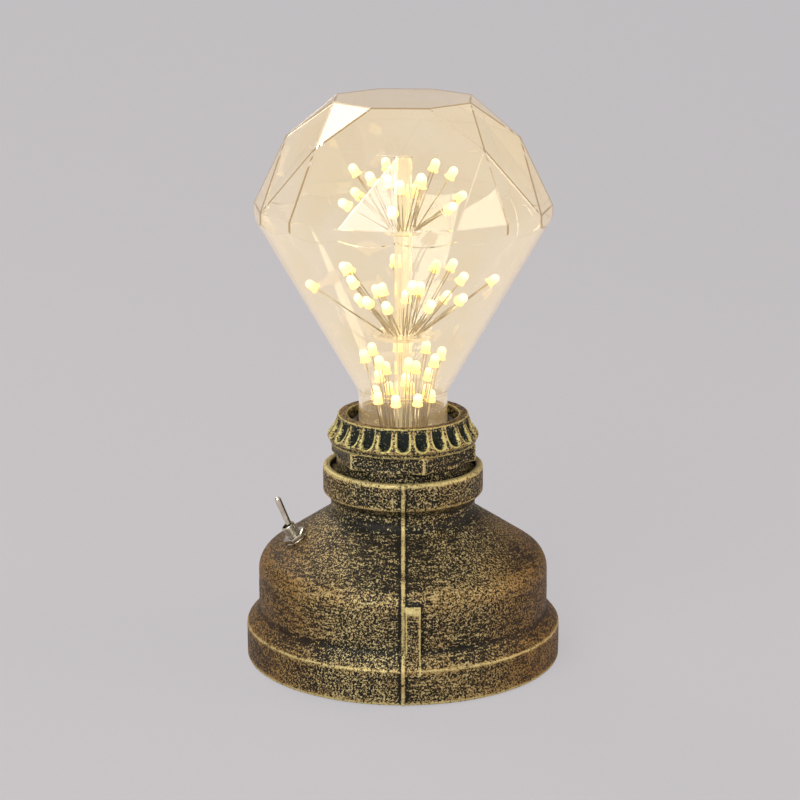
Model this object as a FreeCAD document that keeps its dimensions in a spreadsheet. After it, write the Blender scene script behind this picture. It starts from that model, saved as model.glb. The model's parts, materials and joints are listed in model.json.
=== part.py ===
"""Industrial pipe table lamp: a cast reducer as the foot, a hex bushing and a fluted ring
holding a screw lampholder, a toggle switch on the shoulder and a diamond-shaped bulb full of
small lamps on fanned leads.

Millimetres, +Z up. The origin is on the table under the lamp's axis. The front is -Y and the
toggle switch is on the -X side.
"""
import FreeCAD, Part
import math
import os

import Sketcher
from FreeCAD import Placement, Rotation, Vector

UP = Vector(0, 0, 1)
TOUCH = 0.05                     # gap left between pieces that only rest on each other

DIMENSIONS = {
    # Foot casting, outside
    "rim_gap": 0.8,              # casting's rim above the table
    "bead_radius": 67.8,
    "bead_height": 15.0,
    "bevel_height": 6.2,
    "barrel_radius": 62.4,
    "barrel_height": 22.4,       # from the bevel to the corner of barrel and cone
    "cone_slope": 33.5,          # degrees above the horizontal
    "neck_radius": 31.1,
    "neck_height": 5.7,
    "collar_flare": 3.2,         # height of the chamfer under the collar
    "collar_radius": 34.4,
    "collar_height": 11.3,
    "shoulder_round": 9.5,
    "neck_round": 5.0,
    "edge_round": 1.2,
    # Foot casting, inside
    "cavity_radius": 58.4,
    "cone_wall": 4.0,
    "throat_radius": 26.6,
    "thread_bore": 28.6,
    "thread_depth": 15.3,
    "mouth_radius": 31.2,
    "mouth_depth": 3.0,
    # Parting line and cast lugs
    "seam_width": 2.0,
    "seam_height": 0.9,
    "lug_width": 6.2,
    "lug_offset": 3.9,           # lug's middle, to the side of the seam
    "lug_reach": 3.0,
    "lug_top": 41.1,
    # Bottom plate and what holds it
    "plate_recess": 60.5,
    "plate_thickness": 1.5,
    "plate_ledge": 3.3,          # height of the ledge that the plate is screwed up to
    "boss_radius": 6.0,
    "boss_circle": 54.0,
    "boss_height": 16.0,
    "plate_screw_radius": 2.0,
    "plate_screw_head": 3.6,
    "plate_screw_head_height": 1.0,
    "plate_screw_length": 11.0,
    "plate_screw_count": 3,
    "foot_radius": 7.0,
    "foot_circle": 46.0,
    "foot_count": 4,
    # Hex bushing
    "hex_radius": 31.9,          # across corners, halved
    "hex_height": 7.1,
    "hex_rise": 3.1,             # underside of the hexagon above the collar
    "hex_turn": 46.3,            # degrees from +X to the nearest corner
    "bushing_bore": 22.2,
    "bushing_depth": 12.8,       # below the collar's top
    # Fluted ring
    "ring_height": 12.2,
    "ring_rim": 27.8,
    "ring_flare": 32.3,
    "ring_flare_height": 2.7,
    "ring_flange": 31.3,
    "ring_well": 23.7,
    "ring_well_depth": 6.2,
    "flute_count": 24,
    "flute_width": 4.9,
    "flute_floor": 27.7,
    "flute_foot": 3.4,
    "flute_head": 11.6,
    "flank_hollow": 22.0,        # radius that hollows the flared flank
    # Lampholder
    "fit_gap": 0.1,
    "skirt_radius": 21.6,
    "skirt_below_rim": 3.2,
    "skirt_mouth": 19.8,
    "skirt_mouth_depth": 13.5,
    "holder_flange": 25.4,
    "holder_flange_height": 6.5,
    "holder_web": 4.0,
    "web_bore": 10.2,
    "holder_base_radius": 20.0,
    "holder_base_height": 14.0,
    "holder_screw_circle": 16.6,
    "holder_screw_radius": 1.5,
    "holder_screw_head": 2.8,
    "terminal_circle": 14.0,
    "terminal_block_width": 6.4,
    "terminal_block_height": 8.0,
    "terminal_screw_radius": 1.5,
    "rivet_radius": 1.2,
    "leaf_width": 5.0,
    "leaf_thickness": 0.4,
    # Screw shell and bulb cap
    "thread_pitch": 3.629,
    "thread_swing": 0.45,        # half the thread's depth
    "cap_core": 12.65,           # mean radius of the cap's thread
    "cap_wall": 0.35,
    "thread_play": 0.3,
    "shell_wall": 0.5,
    "engaged_length": 15.0,
    "cap_length": 27.0,
    "cap_thread_length": 16.0,
    "cap_skirt_radius": 13.9,
    "cap_skirt_height": 5.2,
    "solder_radius": 4.6,
    "solder_height": 1.2,
    "insulator_radius": 11.2,
    "insulator_height": 3.4,
    # Bulb glass
    "glass_wall": 1.2,
    "bulb_length": 175.0,
    "neck_glass_radius": 18.9,
    "neck_glass_end": 12.9,
    "neck_glass_round": 10.0,
    "cone_foot_height": 50.7,    # from the bulb's contact to the start of the cone
    "girdle_radius": 62.5,
    "girdle_height": 128.6,
    "crown_ring_radius": 48.6,
    "crown_ring_height": 159.2,
    "table_radius": 30.5,
    "crown_sides": 8,
    "crown_turn": -70.0,         # degrees from +X to a corner of the table
    # Inside the bulb
    "stem_radius": 3.7,
    "stem_wall": 0.7,
    "stem_length": 126.0,
    "board_thickness": 1.2,
    "board_radius": 11.6,
    "low_disc_radius": 11.4,
    "mid_disc_radius": 12.8,
    "top_disc_radius": 8.0,
    "disc_thickness": 1.6,
    "low_disc_height": 29.0,     # discs' tops, from the bulb's contact
    "mid_disc_height": 76.0,
    "top_disc_height": 120.0,
    "lamp_radius": 1.9,
    "lamp_length": 5.6,
    "lamp_flange": 2.3,
    "lead_radius": 0.25,
    "lead_spacing": 1.6,
    # Toggle switch
    "switch_circle": 46.6,       # where the bushing's axis leaves the cone
    "switch_azimuth": 194.0,
    "switch_wall": 3.2,
    "switch_hole": 3.1,
    "spot_face": 9.0,
    "washer_radius": 5.0,
    "washer_thickness": 0.6,
    "nut_across_corners": 10.6,
    "nut_height": 2.0,
    "bushing_radius": 3.0,
    "bushing_height": 7.6,
    "bushing_bore_radius": 2.25,
    "bushing_plate": 0.8,
    "lever_pivot": 3.4,
    "lever_ball": 2.0,
    "lever_length": 13.4,        # beyond the bushing
    "lever_base_radius": 1.15,
    "lever_tip_radius": 1.4,
    "lever_tail": 10.0,
    "lever_tail_radius": 0.75,
    "lever_throw": 11.0,         # degrees each way from the middle
    "case_length": 13.0,
    "case_width": 8.0,
    "case_height": 9.6,
    "case_wall": 1.0,
    "rocker_depth": 7.9,         # rocker's pivot below the casting's skin
    "rocker_length": 9.0,
    "rocker_width": 3.4,
    "rocker_thickness": 0.6,
    "terminal_pitch": 4.7,
    "terminal_length": 4.0,
    "terminal_thickness": 0.8,
    "terminal_width": 2.0,
    # Wiring and cord inlet
    "wire_radius": 1.1,
    "inlet_height": 8.4,
    "inlet_radius": 4.2,
    "inlet_flange": 5.4,
    "inlet_flange_thickness": 1.4,
    "cord_bore": 3.1,
    "block_length": 20.0,
    "block_width": 13.0,
    "block_height": 11.0,
    "block_offset": 27.0,
}


class Size(float):
    """A number that remembers the sheet formula it is worked out from."""

    def __new__(cls, value, formula=None):
        size = super().__new__(cls, value)
        size.formula = formula or repr(float(value))
        return size

    def joined(self, other, sign, value, swap=False):
        other_formula = other.formula if isinstance(other, Size) else repr(float(other))
        first, second = (other_formula, self.formula) if swap else (self.formula, other_formula)
        return Size(value, f"({first} {sign} {second})")

    def __add__(self, other):
        return self.joined(other, "+", float(self) + float(other))

    __radd__ = __add__

    def __sub__(self, other):
        return self.joined(other, "-", float(self) - float(other))

    def __rsub__(self, other):
        return self.joined(other, "-", float(other) - float(self), swap=True)

    def __mul__(self, other):
        return self.joined(other, "*", float(self) * float(other))

    __rmul__ = __mul__

    def __truediv__(self, other):
        return self.joined(other, "/", float(self) / float(other))

    def __neg__(self):
        return Size(-float(self), f"(0 - {self.formula})")


def trig(name, angle):
    """A sine, cosine or tangent of an angle in degrees, as a Size."""
    value = getattr(math, name)(math.radians(angle))
    return Size(value, f"{name}({angle.formula} * 1 deg)")


class Sheet:
    """The driving dimensions, each one an attribute that holds a Size."""

    def __init__(self, document, dimensions):
        cells = document.addObject("Spreadsheet::Sheet", "Sizes")
        for row, (alias, value) in enumerate(dimensions.items(), start=1):
            cells.set(f"A{row}", alias.replace("_", " "))
            cells.set(f"B{row}", str(value))
            cells.setAlias(f"B{row}", alias)
            setattr(self, alias, Size(value, f"Sizes.{alias}"))


DOC = FreeCAD.newDocument("pipe_table_lamp")
S = Sheet(DOC, DIMENSIONS)
DOC.recompute()
PARTS = []


# Heights that several pieces share

BEAD_TOP = S.rim_gap + S.bead_height
BEVEL_TOP = BEAD_TOP + S.bevel_height
BARREL_TOP = BEVEL_TOP + S.barrel_height
CONE_RISE = trig("tan", S.cone_slope)
CONE_TOP = BARREL_TOP + (S.barrel_radius - S.neck_radius) * CONE_RISE
COLLAR_FLARE = CONE_TOP + S.neck_height
COLLAR_FOOT = COLLAR_FLARE + S.collar_flare
COLLAR_TOP = COLLAR_FOOT + S.collar_height
HEX_FOOT = COLLAR_TOP + S.hex_rise
HEX_TOP = HEX_FOOT + S.hex_height
BUSHING_FOOT = COLLAR_TOP - S.bushing_depth
RING_TOP = HEX_TOP + S.ring_height
SKIRT_TOP = RING_TOP - S.skirt_below_rim
MOUTH_FLOOR = SKIRT_TOP - S.skirt_mouth_depth
HOLDER_FLANGE_FOOT = BUSHING_FOOT - S.holder_flange_height
HOLDER_BASE_FOOT = HOLDER_FLANGE_FOOT - S.holder_base_height
SHELL_FOOT = HOLDER_FLANGE_FOOT + S.holder_web
CONTACT = SHELL_FOOT - S.holder_web + 0.8
CAP_THREAD_FOOT = CONTACT + S.solder_height + S.insulator_height
CAP_TOP = CONTACT + S.cap_length
THREAD_TOP = CAP_THREAD_FOOT + S.engaged_length
TABLE_TOP = CONTACT + S.bulb_length
GIRDLE = CONTACT + S.girdle_height
PLATE_FOOT = S.plate_ledge - S.plate_thickness
NEUTRAL_RIVET = S.cap_core


# Helpers for building sub-parts

def add_part(label, sub_part):
    """Give a sub-part its label, which names its file, and list it for writing."""
    sub_part.Label = label
    PARTS.append(sub_part)
    return sub_part


def new_body(label):
    return add_part(label, DOC.addObject("PartDesign::Body", "Body_" + label))


def origin_item(body, role):
    """One of the body's own origin planes or axes."""
    return next(item for item in body.Origin.OriginFeatures if item.Role == role)


def bind(target, **sizes):
    """Bind properties of an object to the sheet."""
    for name, size in sizes.items():
        if isinstance(size, Size):
            target.setExpression(name, size.formula)
        else:
            setattr(target, name, size)


def hold(sketch, kind, axis_curve, index, value):
    """Hold the start of a sketch curve at a signed distance from the origin."""
    if abs(value) < 1e-9:
        sketch.addConstraint(Sketcher.Constraint("PointOnObject", index, 1, axis_curve))
        return
    ends = (-1, 1, index, 1) if value > 0 else (index, 1, -1, 1)
    number = sketch.addConstraint(Sketcher.Constraint(kind, *ends, abs(float(value))))
    if isinstance(value, Size):
        formula = value.formula if value > 0 else (-value).formula
        sketch.setExpression(f"Constraints[{number}]", formula)


def new_sketch(body, plane, lift=None):
    """An empty sketch on one of the body's origin planes, lifted off it if asked."""
    sketch = body.newObject("Sketcher::SketchObject", "Sketch")
    sketch.AttachmentSupport = (origin_item(body, plane), [""])
    sketch.MapMode = "FlatFace"
    if lift is not None:
        sketch.setExpression("AttachmentOffset.Base.z", lift.formula)
    return sketch


def draw_outline(sketch, corners):
    """A closed outline of straight lines, each corner held at its place."""
    first = sketch.GeometryCount
    count = len(corners)
    for index, (across, along) in enumerate(corners):
        next_across, next_along = corners[(index + 1) % count]
        line = Part.LineSegment(Vector(across, along, 0), Vector(next_across, next_along, 0))
        sketch.addGeometry(line, False)
    for index in range(count):
        following = first + (index + 1) % count
        sketch.addConstraint(Sketcher.Constraint("Coincident", first + index, 2, following, 1))
    for index, (across, along) in enumerate(corners):
        hold(sketch, "DistanceX", -2, first + index, across)
        hold(sketch, "DistanceY", -1, first + index, along)


def draw_circle(sketch, across, along, radius):
    """A circle held at its centre and radius."""
    circle = Part.Circle(Vector(across, along, 0), UP, radius)
    index = sketch.addGeometry(circle, False)
    for kind, axis_curve, value in (("DistanceX", -2, across), ("DistanceY", -1, along)):
        if abs(value) < 1e-9:
            sketch.addConstraint(Sketcher.Constraint("PointOnObject", index, 3, axis_curve))
            continue
        ends = (-1, 1, index, 3) if value > 0 else (index, 3, -1, 1)
        number = sketch.addConstraint(Sketcher.Constraint(kind, *ends, abs(float(value))))
        if isinstance(value, Size):
            formula = value.formula if value > 0 else (-value).formula
            sketch.setExpression(f"Constraints[{number}]", formula)
    number = sketch.addConstraint(Sketcher.Constraint("Radius", index, float(radius)))
    if isinstance(radius, Size):
        sketch.setExpression(f"Constraints[{number}]", radius.formula)


def revolve(body, corners, kind="Revolution"):
    """Turn an outline of (radius, height) corners about Z, adding or cutting."""
    sketch = new_sketch(body, "XZ_Plane")
    draw_outline(sketch, corners)
    feature = body.newObject("PartDesign::" + kind, kind)
    feature.Profile = sketch
    feature.ReferenceAxis = (sketch, ["V_Axis"])
    feature.Angle = 360
    DOC.recompute()
    return feature


def groove_circle(body, radius, height, tube):
    """Cut a ring-shaped hollow of round section."""
    sketch = new_sketch(body, "XZ_Plane")
    draw_circle(sketch, radius, height, tube)
    feature = body.newObject("PartDesign::Groove", "Groove")
    feature.Profile = sketch
    feature.ReferenceAxis = (sketch, ["V_Axis"])
    feature.Angle = 360
    DOC.recompute()
    return feature


def extrude(body, sketch, kind, length, midplane=False, reverse=False):
    """Pad or pocket a sketch, and refuse a cut or a pad that changes nothing."""
    before = body.Shape.Volume if body.Shape and not body.Shape.isNull() else 0.0
    feature = body.newObject("PartDesign::" + kind, kind)
    feature.Profile = sketch
    feature.Midplane = midplane
    feature.Reversed = reverse
    bind(feature, Length=length)
    DOC.recompute()
    if abs(feature.Shape.Volume - before) < 1e-6:
        raise RuntimeError(f"{kind} in {body.Label} changes nothing")
    return feature


def pattern(body, feature, count, axis="Z_Axis"):
    """Repeat a feature evenly round an axis."""
    repeat = body.newObject("PartDesign::PolarPattern", "PolarPattern")
    repeat.Originals = [feature]
    repeat.Axis = (origin_item(body, axis), [""])
    repeat.Angle = 360
    bind(repeat, Occurrences=count)
    body.Tip = repeat
    DOC.recompute()
    return repeat


def ring_edges(shape, *places):
    """Names of the circular edges about Z at the given (radius, height) places."""
    names = []
    for index, edge in enumerate(shape.Edges, start=1):
        if not isinstance(edge.Curve, Part.Circle):
            continue
        centre = edge.Curve.Center
        for radius, height in places:
            close = abs(edge.Curve.Radius - radius) < 0.01 and abs(centre.z - height) < 0.01
            if close and math.hypot(centre.x, centre.y) < 0.01:
                names.append(f"Edge{index}")
    return names


def fillet(body, radius, *places):
    """Round the circular edges at the given places."""
    base = body.Tip
    feature = body.newObject("PartDesign::Fillet", "Fillet")
    feature.Base = (base, ring_edges(base.Shape, *places))
    bind(feature, Radius=radius)
    DOC.recompute()
    return feature


def add_shape(label, shape, place=None):
    """A sub-part whose shape is made with Part's own functions."""
    feature = DOC.addObject("Part::Feature", "Shape_" + label)
    feature.Shape = shape
    if place is not None:
        feature.Placement = place
    return add_part(label, feature)


def polar(radius, degrees, height=0.0):
    angle = math.radians(degrees)
    return Vector(radius * math.cos(angle), radius * math.sin(angle), height)


def cylinder(radius, low, high, centre=Vector(0, 0, 0)):
    return Part.makeCylinder(radius, high - low, centre + UP * float(low))


def tube(outer, inner, low, high):
    return cylinder(outer, low, high).cut(cylinder(inner, low - 1, high + 1))


def rounded_path(points, radii):
    """Straight runs joined by tangent arcs, one radius for each inner point."""
    edges = []
    start = points[0]
    for index in range(1, len(points) - 1):
        corner = points[index]
        back = (points[index - 1] - corner).normalize()
        ahead = (points[index + 1] - corner).normalize()
        half = back.getAngle(ahead) / 2
        reach = radii[index - 1] / math.tan(half)
        enter = corner + back * reach
        leave = corner + ahead * reach
        bisector = (back + ahead).normalize()
        middle = corner + bisector * (radii[index - 1] / math.sin(half) - radii[index - 1])
        if (enter - start).Length > 1e-6:
            edges.append(Part.LineSegment(start, enter).toShape())
        edges.append(Part.Arc(enter, middle, leave).toShape())
        start = leave
    edges.append(Part.LineSegment(start, points[-1]).toShape())
    return Part.Wire(edges)


def turned(points, radii):
    """A solid of revolution about Z from an outline of (radius, height) points.

    The outline starts and ends on the axis, and radii rounds the points between its second
    and its last but one.
    """
    corners = [Vector(radius, 0, height) for radius, height in points]
    side = rounded_path(corners[1:-1], radii)
    closing = Part.makePolygon([corners[-2], corners[-1], corners[0], corners[1]])
    face = Part.Face(Part.Wire(side.Edges + closing.Edges))
    return face.revolve(Vector(0, 0, 0), UP, 360)


def screw_post(core, low, high):
    """A round-threaded post: a circle carried round a helix without turning.

    Every thread about the lamp's axis counts its phase from the same height, so that a cap
    and a shell with the same pitch lie in mesh.
    """
    pitch = float(S.thread_pitch)
    swing = float(S.thread_swing)
    spine = Part.makeHelix(pitch, high - low, swing)
    turn = 360.0 * (low - CONTACT) / pitch
    ring = Part.Wire(Part.makeCircle(core, Vector(swing, 0, 0), UP))
    for shape in (spine, ring):
        shape.rotate(Vector(0, 0, 0), UP, turn)
        shape.translate(UP * float(low))
    sweep = Part.BRepOffsetAPI.MakePipeShell(Part.Wire(spine.Edges))
    sweep.setTrihedronMode(Vector(0, 0, 0), UP)
    sweep.add(ring, False, False)
    sweep.build()
    sweep.makeSolid()
    return sweep.shape()


# Foot casting

def casting_profile(grow=0.0):
    """Outer corners of the casting from the rim up, grown outward for the parting line."""
    return [
        (S.bead_radius + grow, S.rim_gap),
        (S.bead_radius + grow, BEAD_TOP),
        (S.barrel_radius + grow, BEVEL_TOP),
        (S.barrel_radius + grow, BARREL_TOP + grow * CONE_RISE),
        (S.neck_radius + grow, CONE_TOP + grow),
        (S.neck_radius + grow, COLLAR_FLARE),
        (S.collar_radius + grow, COLLAR_FOOT),
        (S.collar_radius + grow, COLLAR_TOP),
    ]


def casting_skin(name, grow):
    """The casting's outside as a solid of revolution with its rounded corners."""
    body = DOC.addObject("PartDesign::Body", name)
    profile = casting_profile(grow)
    revolve(body, profile + [(0.0, COLLAR_TOP), (0.0, S.rim_gap)])
    fillet(body, S.shoulder_round, profile[3])
    fillet(body, S.neck_round, profile[4])
    fillet(body, S.edge_round, profile[1], profile[2], profile[6], profile[7])
    return body


def casting_cavity():
    """The casting's inside as a solid of revolution, with the mouth and the plate's recess."""
    drop = S.cone_wall / trig("cos", S.cone_slope)
    inner_barrel_top = BARREL_TOP + (S.barrel_radius - S.cavity_radius) * CONE_RISE - drop
    inner_cone_top = BARREL_TOP + (S.barrel_radius - S.throat_radius) * CONE_RISE - drop
    body = DOC.addObject("PartDesign::Body", "CastingCavity")
    revolve(body, [
        (0.0, COLLAR_TOP + 1.0),
        (S.mouth_radius, COLLAR_TOP + 1.0),
        (S.mouth_radius, COLLAR_TOP - S.mouth_depth),
        (S.thread_bore, COLLAR_TOP - S.mouth_depth),
        (S.thread_bore, COLLAR_TOP - S.thread_depth),
        (S.throat_radius, COLLAR_TOP - S.thread_depth),
        (S.throat_radius, inner_cone_top),
        (S.cavity_radius, inner_barrel_top),
        (S.cavity_radius, S.plate_ledge),
        (S.plate_recess, S.plate_ledge),
        (S.plate_recess, S.rim_gap - 1.0),
        (0.0, S.rim_gap - 1.0),
    ])
    return body


def block(name, width, depth, height, corner):
    """A box bound to the sheet, with its low corner at the given place."""
    box = DOC.addObject("Part::Box", name)
    bind(box, Length=width, Width=depth, Height=height)
    for axis, size in zip("xyz", corner):
        box.setExpression(f"Placement.Base.{axis}", size.formula)
    return box


def post(name, radius, height, place):
    """A round post bound to the sheet, standing at a given placement."""
    item = DOC.addObject("Part::Cylinder", name)
    bind(item, Radius=radius, Height=height)
    item.Placement = place
    return item


def join(kind, name, items):
    """A fuse, cut or common of document objects."""
    result = DOC.addObject("Part::" + kind, name)
    if kind in ("MultiFuse", "MultiCommon"):
        result.Shapes = items
    else:
        result.Base, result.Tool = items
    DOC.recompute()
    return result


def switch_place():
    """Placement of the switch: its Z runs out of the cone, its X down the slope."""
    height = BARREL_TOP + (S.barrel_radius - S.switch_circle) * CONE_RISE
    on_cone = Placement(Vector(S.switch_circle, 0, height), Rotation(Vector(0, 1, 0), S.cone_slope))
    return Placement(Vector(0, 0, 0), Rotation(UP, S.switch_azimuth)).multiply(on_cone)


def boss_angles():
    return [-90.0 + 360.0 * index / S.plate_screw_count for index in range(int(S.plate_screw_count))]


def make_base_casting():
    """The hollow cast reducer, with its parting lines, lugs, bosses, switch hole and inlet."""
    span = S.bead_radius * 2.4
    slab = block("SeamSlab", S.seam_width, span, COLLAR_TOP,
                 (-(S.seam_width / 2), -(span / 2), S.rim_gap))
    seam = join("Common", "Seam", [casting_skin("SeamSkin", S.seam_height), slab])
    lug_length = (S.barrel_radius + S.lug_reach) * 2
    lug_height = S.lug_top - BEAD_TOP + 2.0
    lug_near = S.lug_offset - S.lug_width / 2
    lug = block("FrontLug", S.lug_width, lug_length / 2, lug_height,
                (lug_near, -(lug_length / 2), BEAD_TOP - 2.0))
    rear_lug = block("RearLug", S.lug_width, lug_length / 2, lug_height,
                     (-(lug_near + S.lug_width), Size(0.0), BEAD_TOP - 2.0))
    outside = join("MultiFuse", "CastingOutside",
                   [casting_skin("CastingSkin", 0.0), seam, lug, rear_lug])
    shell = join("Cut", "CastingShell", [outside, casting_cavity()])
    bosses = []
    holes = []
    for index, angle in enumerate(boss_angles()):
        foot = Placement(polar(S.boss_circle, angle, S.plate_ledge), Rotation())
        bosses.append(post(f"Boss{index}", S.boss_radius, S.boss_height, foot))
        low = Placement(polar(S.boss_circle, angle, S.plate_ledge - 1.0), Rotation())
        holes.append(post(f"BossHole{index}", S.plate_screw_radius, S.plate_screw_length, low))
    bossed = join("MultiFuse", "BossedShell", [shell] + bosses)
    rearward = Rotation(Vector(1, 0, 0), -90)
    inlet = Placement(Vector(0, S.cavity_radius - 4.0, S.inlet_height), rearward)
    holes.append(post("InletHole", S.inlet_radius + S.fit_gap, S.bead_radius, inlet))
    face = Placement(Vector(0, S.bead_radius - S.inlet_flange_thickness, S.inlet_height), rearward)
    holes.append(post("InletFace", S.inlet_flange + S.fit_gap, S.bead_radius, face))
    place = switch_place()
    through = place.multiply(Placement(Vector(0, 0, -S.spot_face), Rotation()))
    holes.append(post("SwitchHole", S.switch_hole, S.spot_face * 2, through))
    inward = place.multiply(Placement(Vector(0, 0, -(S.switch_wall + S.spot_face)), Rotation()))
    holes.append(post("SwitchFace", S.spot_face, S.spot_face, inward))
    return add_part("base_casting", join("Cut", "Casting", [bossed, join("MultiFuse", "Holes", holes)]))


def make_bottom_plate():
    """The steel plate that closes the foot, screwed up to the bosses."""
    body = new_body("bottom_plate")
    sketch = new_sketch(body, "XY_Plane", lift=PLATE_FOOT)
    draw_circle(sketch, 0.0, 0.0, S.plate_recess - 0.3)
    for angle in boss_angles():
        centre = polar(S.boss_circle, angle)
        turn = Size(angle)
        draw_circle(sketch, S.boss_circle * trig("cos", turn) if abs(centre.x) > 1e-6 else 0.0,
                    S.boss_circle * trig("sin", turn), S.plate_screw_radius + 0.2)
    extrude(body, sketch, "Pad", S.plate_thickness)


def make_plate_screws():
    screws = []
    for angle in boss_angles():
        centre = polar(S.boss_circle, angle)
        shank = cylinder(S.plate_screw_radius - S.fit_gap, PLATE_FOOT - 0.5,
                         S.plate_ledge + S.plate_screw_length - 2.0, centre)
        head = cylinder(S.plate_screw_head, PLATE_FOOT - S.plate_screw_head_height, PLATE_FOOT, centre)
        slot = Part.makeBox(2 * S.plate_screw_head, 0.9, 0.5,
                            centre + Vector(-S.plate_screw_head, -0.45, PLATE_FOOT - S.plate_screw_head_height))
        screws.append(shank.fuse(head).cut(slot))
    add_shape("plate_screws", Part.makeCompound(screws))


def make_rubber_feet():
    """Feet stuck to the plate, a little below the casting's rim."""
    feet = []
    for index in range(int(S.foot_count)):
        centre = polar(S.foot_circle, 45.0 + 360.0 * index / S.foot_count)
        foot = cylinder(S.foot_radius, 0, PLATE_FOOT, centre)
        feet.append(foot)
    add_shape("rubber_feet", Part.makeCompound(feet))


def make_cord_grommet():
    """The bush in the rear of the bead that the cord would pass through."""
    start = S.cavity_radius - 2.0
    flange = S.bead_radius - S.inlet_flange_thickness
    sleeve = cylinder(S.inlet_radius, start, flange + 0.5)
    lip = cylinder(S.inlet_flange, flange, S.bead_radius)
    bush = sleeve.fuse(lip).cut(cylinder(S.cord_bore, start - 1, S.bead_radius + 1))
    place = Placement(Vector(0, 0, S.inlet_height), Rotation(Vector(1, 0, 0), -90))
    add_shape("cord_grommet", bush, place)


# Hex bushing and fluted ring

def hex_corners(radius, turn):
    return [(radius * trig("cos", turn + 60.0 * side), radius * trig("sin", turn + 60.0 * side))
            for side in range(6)]


def make_hex_bushing():
    """The bushing that closes the collar: a hexagon on a round shank, bored through."""
    body = new_body("hex_bushing")
    shank = S.thread_bore - S.fit_gap
    revolve(body, [(S.bushing_bore, BUSHING_FOOT), (shank, BUSHING_FOOT), (shank, HEX_FOOT + 1.0),
                   (S.bushing_bore, HEX_FOOT + 1.0)])
    sketch = new_sketch(body, "XY_Plane", lift=HEX_FOOT)
    draw_outline(sketch, hex_corners(S.hex_radius, S.hex_turn))
    draw_circle(sketch, 0.0, 0.0, S.bushing_bore)
    extrude(body, sketch, "Pad", S.hex_height)
    return body


def make_fluted_ring():
    """The clamping ring: a flared crown with round-bottomed flutes over a notched flange."""
    body = new_body("fluted_ring")
    bore = S.skirt_radius + S.fit_gap
    flare = HEX_TOP + S.ring_flare_height
    well_floor = RING_TOP - S.ring_well_depth
    revolve(body, [(bore, HEX_TOP), (S.ring_flange, HEX_TOP), (S.ring_flange, HEX_TOP + 1.4),
                   (S.ring_flare, flare - 0.4), (S.ring_flare, flare + 0.6),
                   (S.ring_rim, RING_TOP), (S.ring_well, RING_TOP), (S.ring_well, well_floor),
                   (bore, well_floor)])
    fillet(body, Size(0.5), (S.ring_rim, RING_TOP), (S.ring_well, RING_TOP))
    middle_radius = (S.ring_flare + S.ring_rim) / 2
    middle_height = (flare + 0.6 + RING_TOP) / 2
    groove_circle(body, middle_radius + S.flank_hollow * 0.83, middle_height + S.flank_hollow * 0.5,
                  S.flank_hollow)
    add_flutes(body)
    return body


def add_flutes(body):
    """Flutes and the small notches under the ribs between them."""
    half = S.flute_width / 2
    foot = HEX_TOP + S.flute_foot
    sketch = new_sketch(body, "XZ_Plane", lift=S.flute_floor)
    draw_outline(sketch, [(-half, foot + half), (half, foot + half), (half, HEX_TOP + S.flute_head),
                          (-half, HEX_TOP + S.flute_head)])
    flute = extrude(body, sketch, "Pocket", S.ring_flare, reverse=True)
    pattern(body, flute, S.flute_count)
    sketch = new_sketch(body, "XZ_Plane", lift=S.flute_floor)
    draw_circle(sketch, 0.0, foot + half, half)
    flute = extrude(body, sketch, "Pocket", S.ring_flare, reverse=True)
    pattern(body, flute, S.flute_count)


# Lampholder

def make_lampholder_body():
    """The insulating cup: long skirt, clamping flange and a cavity for the screw shell."""
    cavity = S.cap_core + S.thread_play + S.thread_swing + S.shell_wall + 0.4
    cup = turned([(0, HOLDER_FLANGE_FOOT), (S.holder_flange, HOLDER_FLANGE_FOOT),
                  (S.holder_flange, BUSHING_FOOT), (S.skirt_radius, BUSHING_FOOT),
                  (S.skirt_radius, SKIRT_TOP), (S.skirt_mouth + 0.6, SKIRT_TOP),
                  (0, SKIRT_TOP)], [0.8, 0.3, 0.5])
    hollows = [cylinder(S.skirt_mouth, MOUTH_FLOOR, SKIRT_TOP + 1),
               cylinder(cavity, SHELL_FOOT, MOUTH_FLOOR + 1),
               cylinder(S.web_bore, HOLDER_FLANGE_FOOT - 1, SHELL_FOOT + 1),
               cylinder(S.rivet_radius + S.fit_gap, HOLDER_FLANGE_FOOT - 1, SHELL_FOOT + 1,
                        Vector(NEUTRAL_RIVET, 0, 0))]
    for side in (90, 270):
        hollows.append(cylinder(S.holder_screw_radius + S.fit_gap, HOLDER_FLANGE_FOOT - 1,
                                HOLDER_FLANGE_FOOT + 5, polar(S.holder_screw_circle, side)))
    for hollow in hollows:
        cup = cup.cut(hollow)
    add_shape("lampholder_body", cup)


def terminal_box(grow, side):
    """Room for a terminal in the lampholder's base, or the terminal itself."""
    width = S.terminal_block_width + 2 * grow
    return Part.makeBox(width, width, S.terminal_block_height + grow,
                        Vector(side * S.terminal_circle - width / 2, -width / 2, HOLDER_BASE_FOOT - 0.0))


def terminal_screw_way(side):
    """The way in from the side for a terminal's screw."""
    height = HOLDER_BASE_FOOT + S.terminal_block_height - 3.0
    return Part.makeCylinder(S.terminal_screw_radius + S.fit_gap, 8.0,
                             Vector(side * (S.terminal_circle + 8.0), 0, height), Vector(-side, 0, 0))


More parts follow.
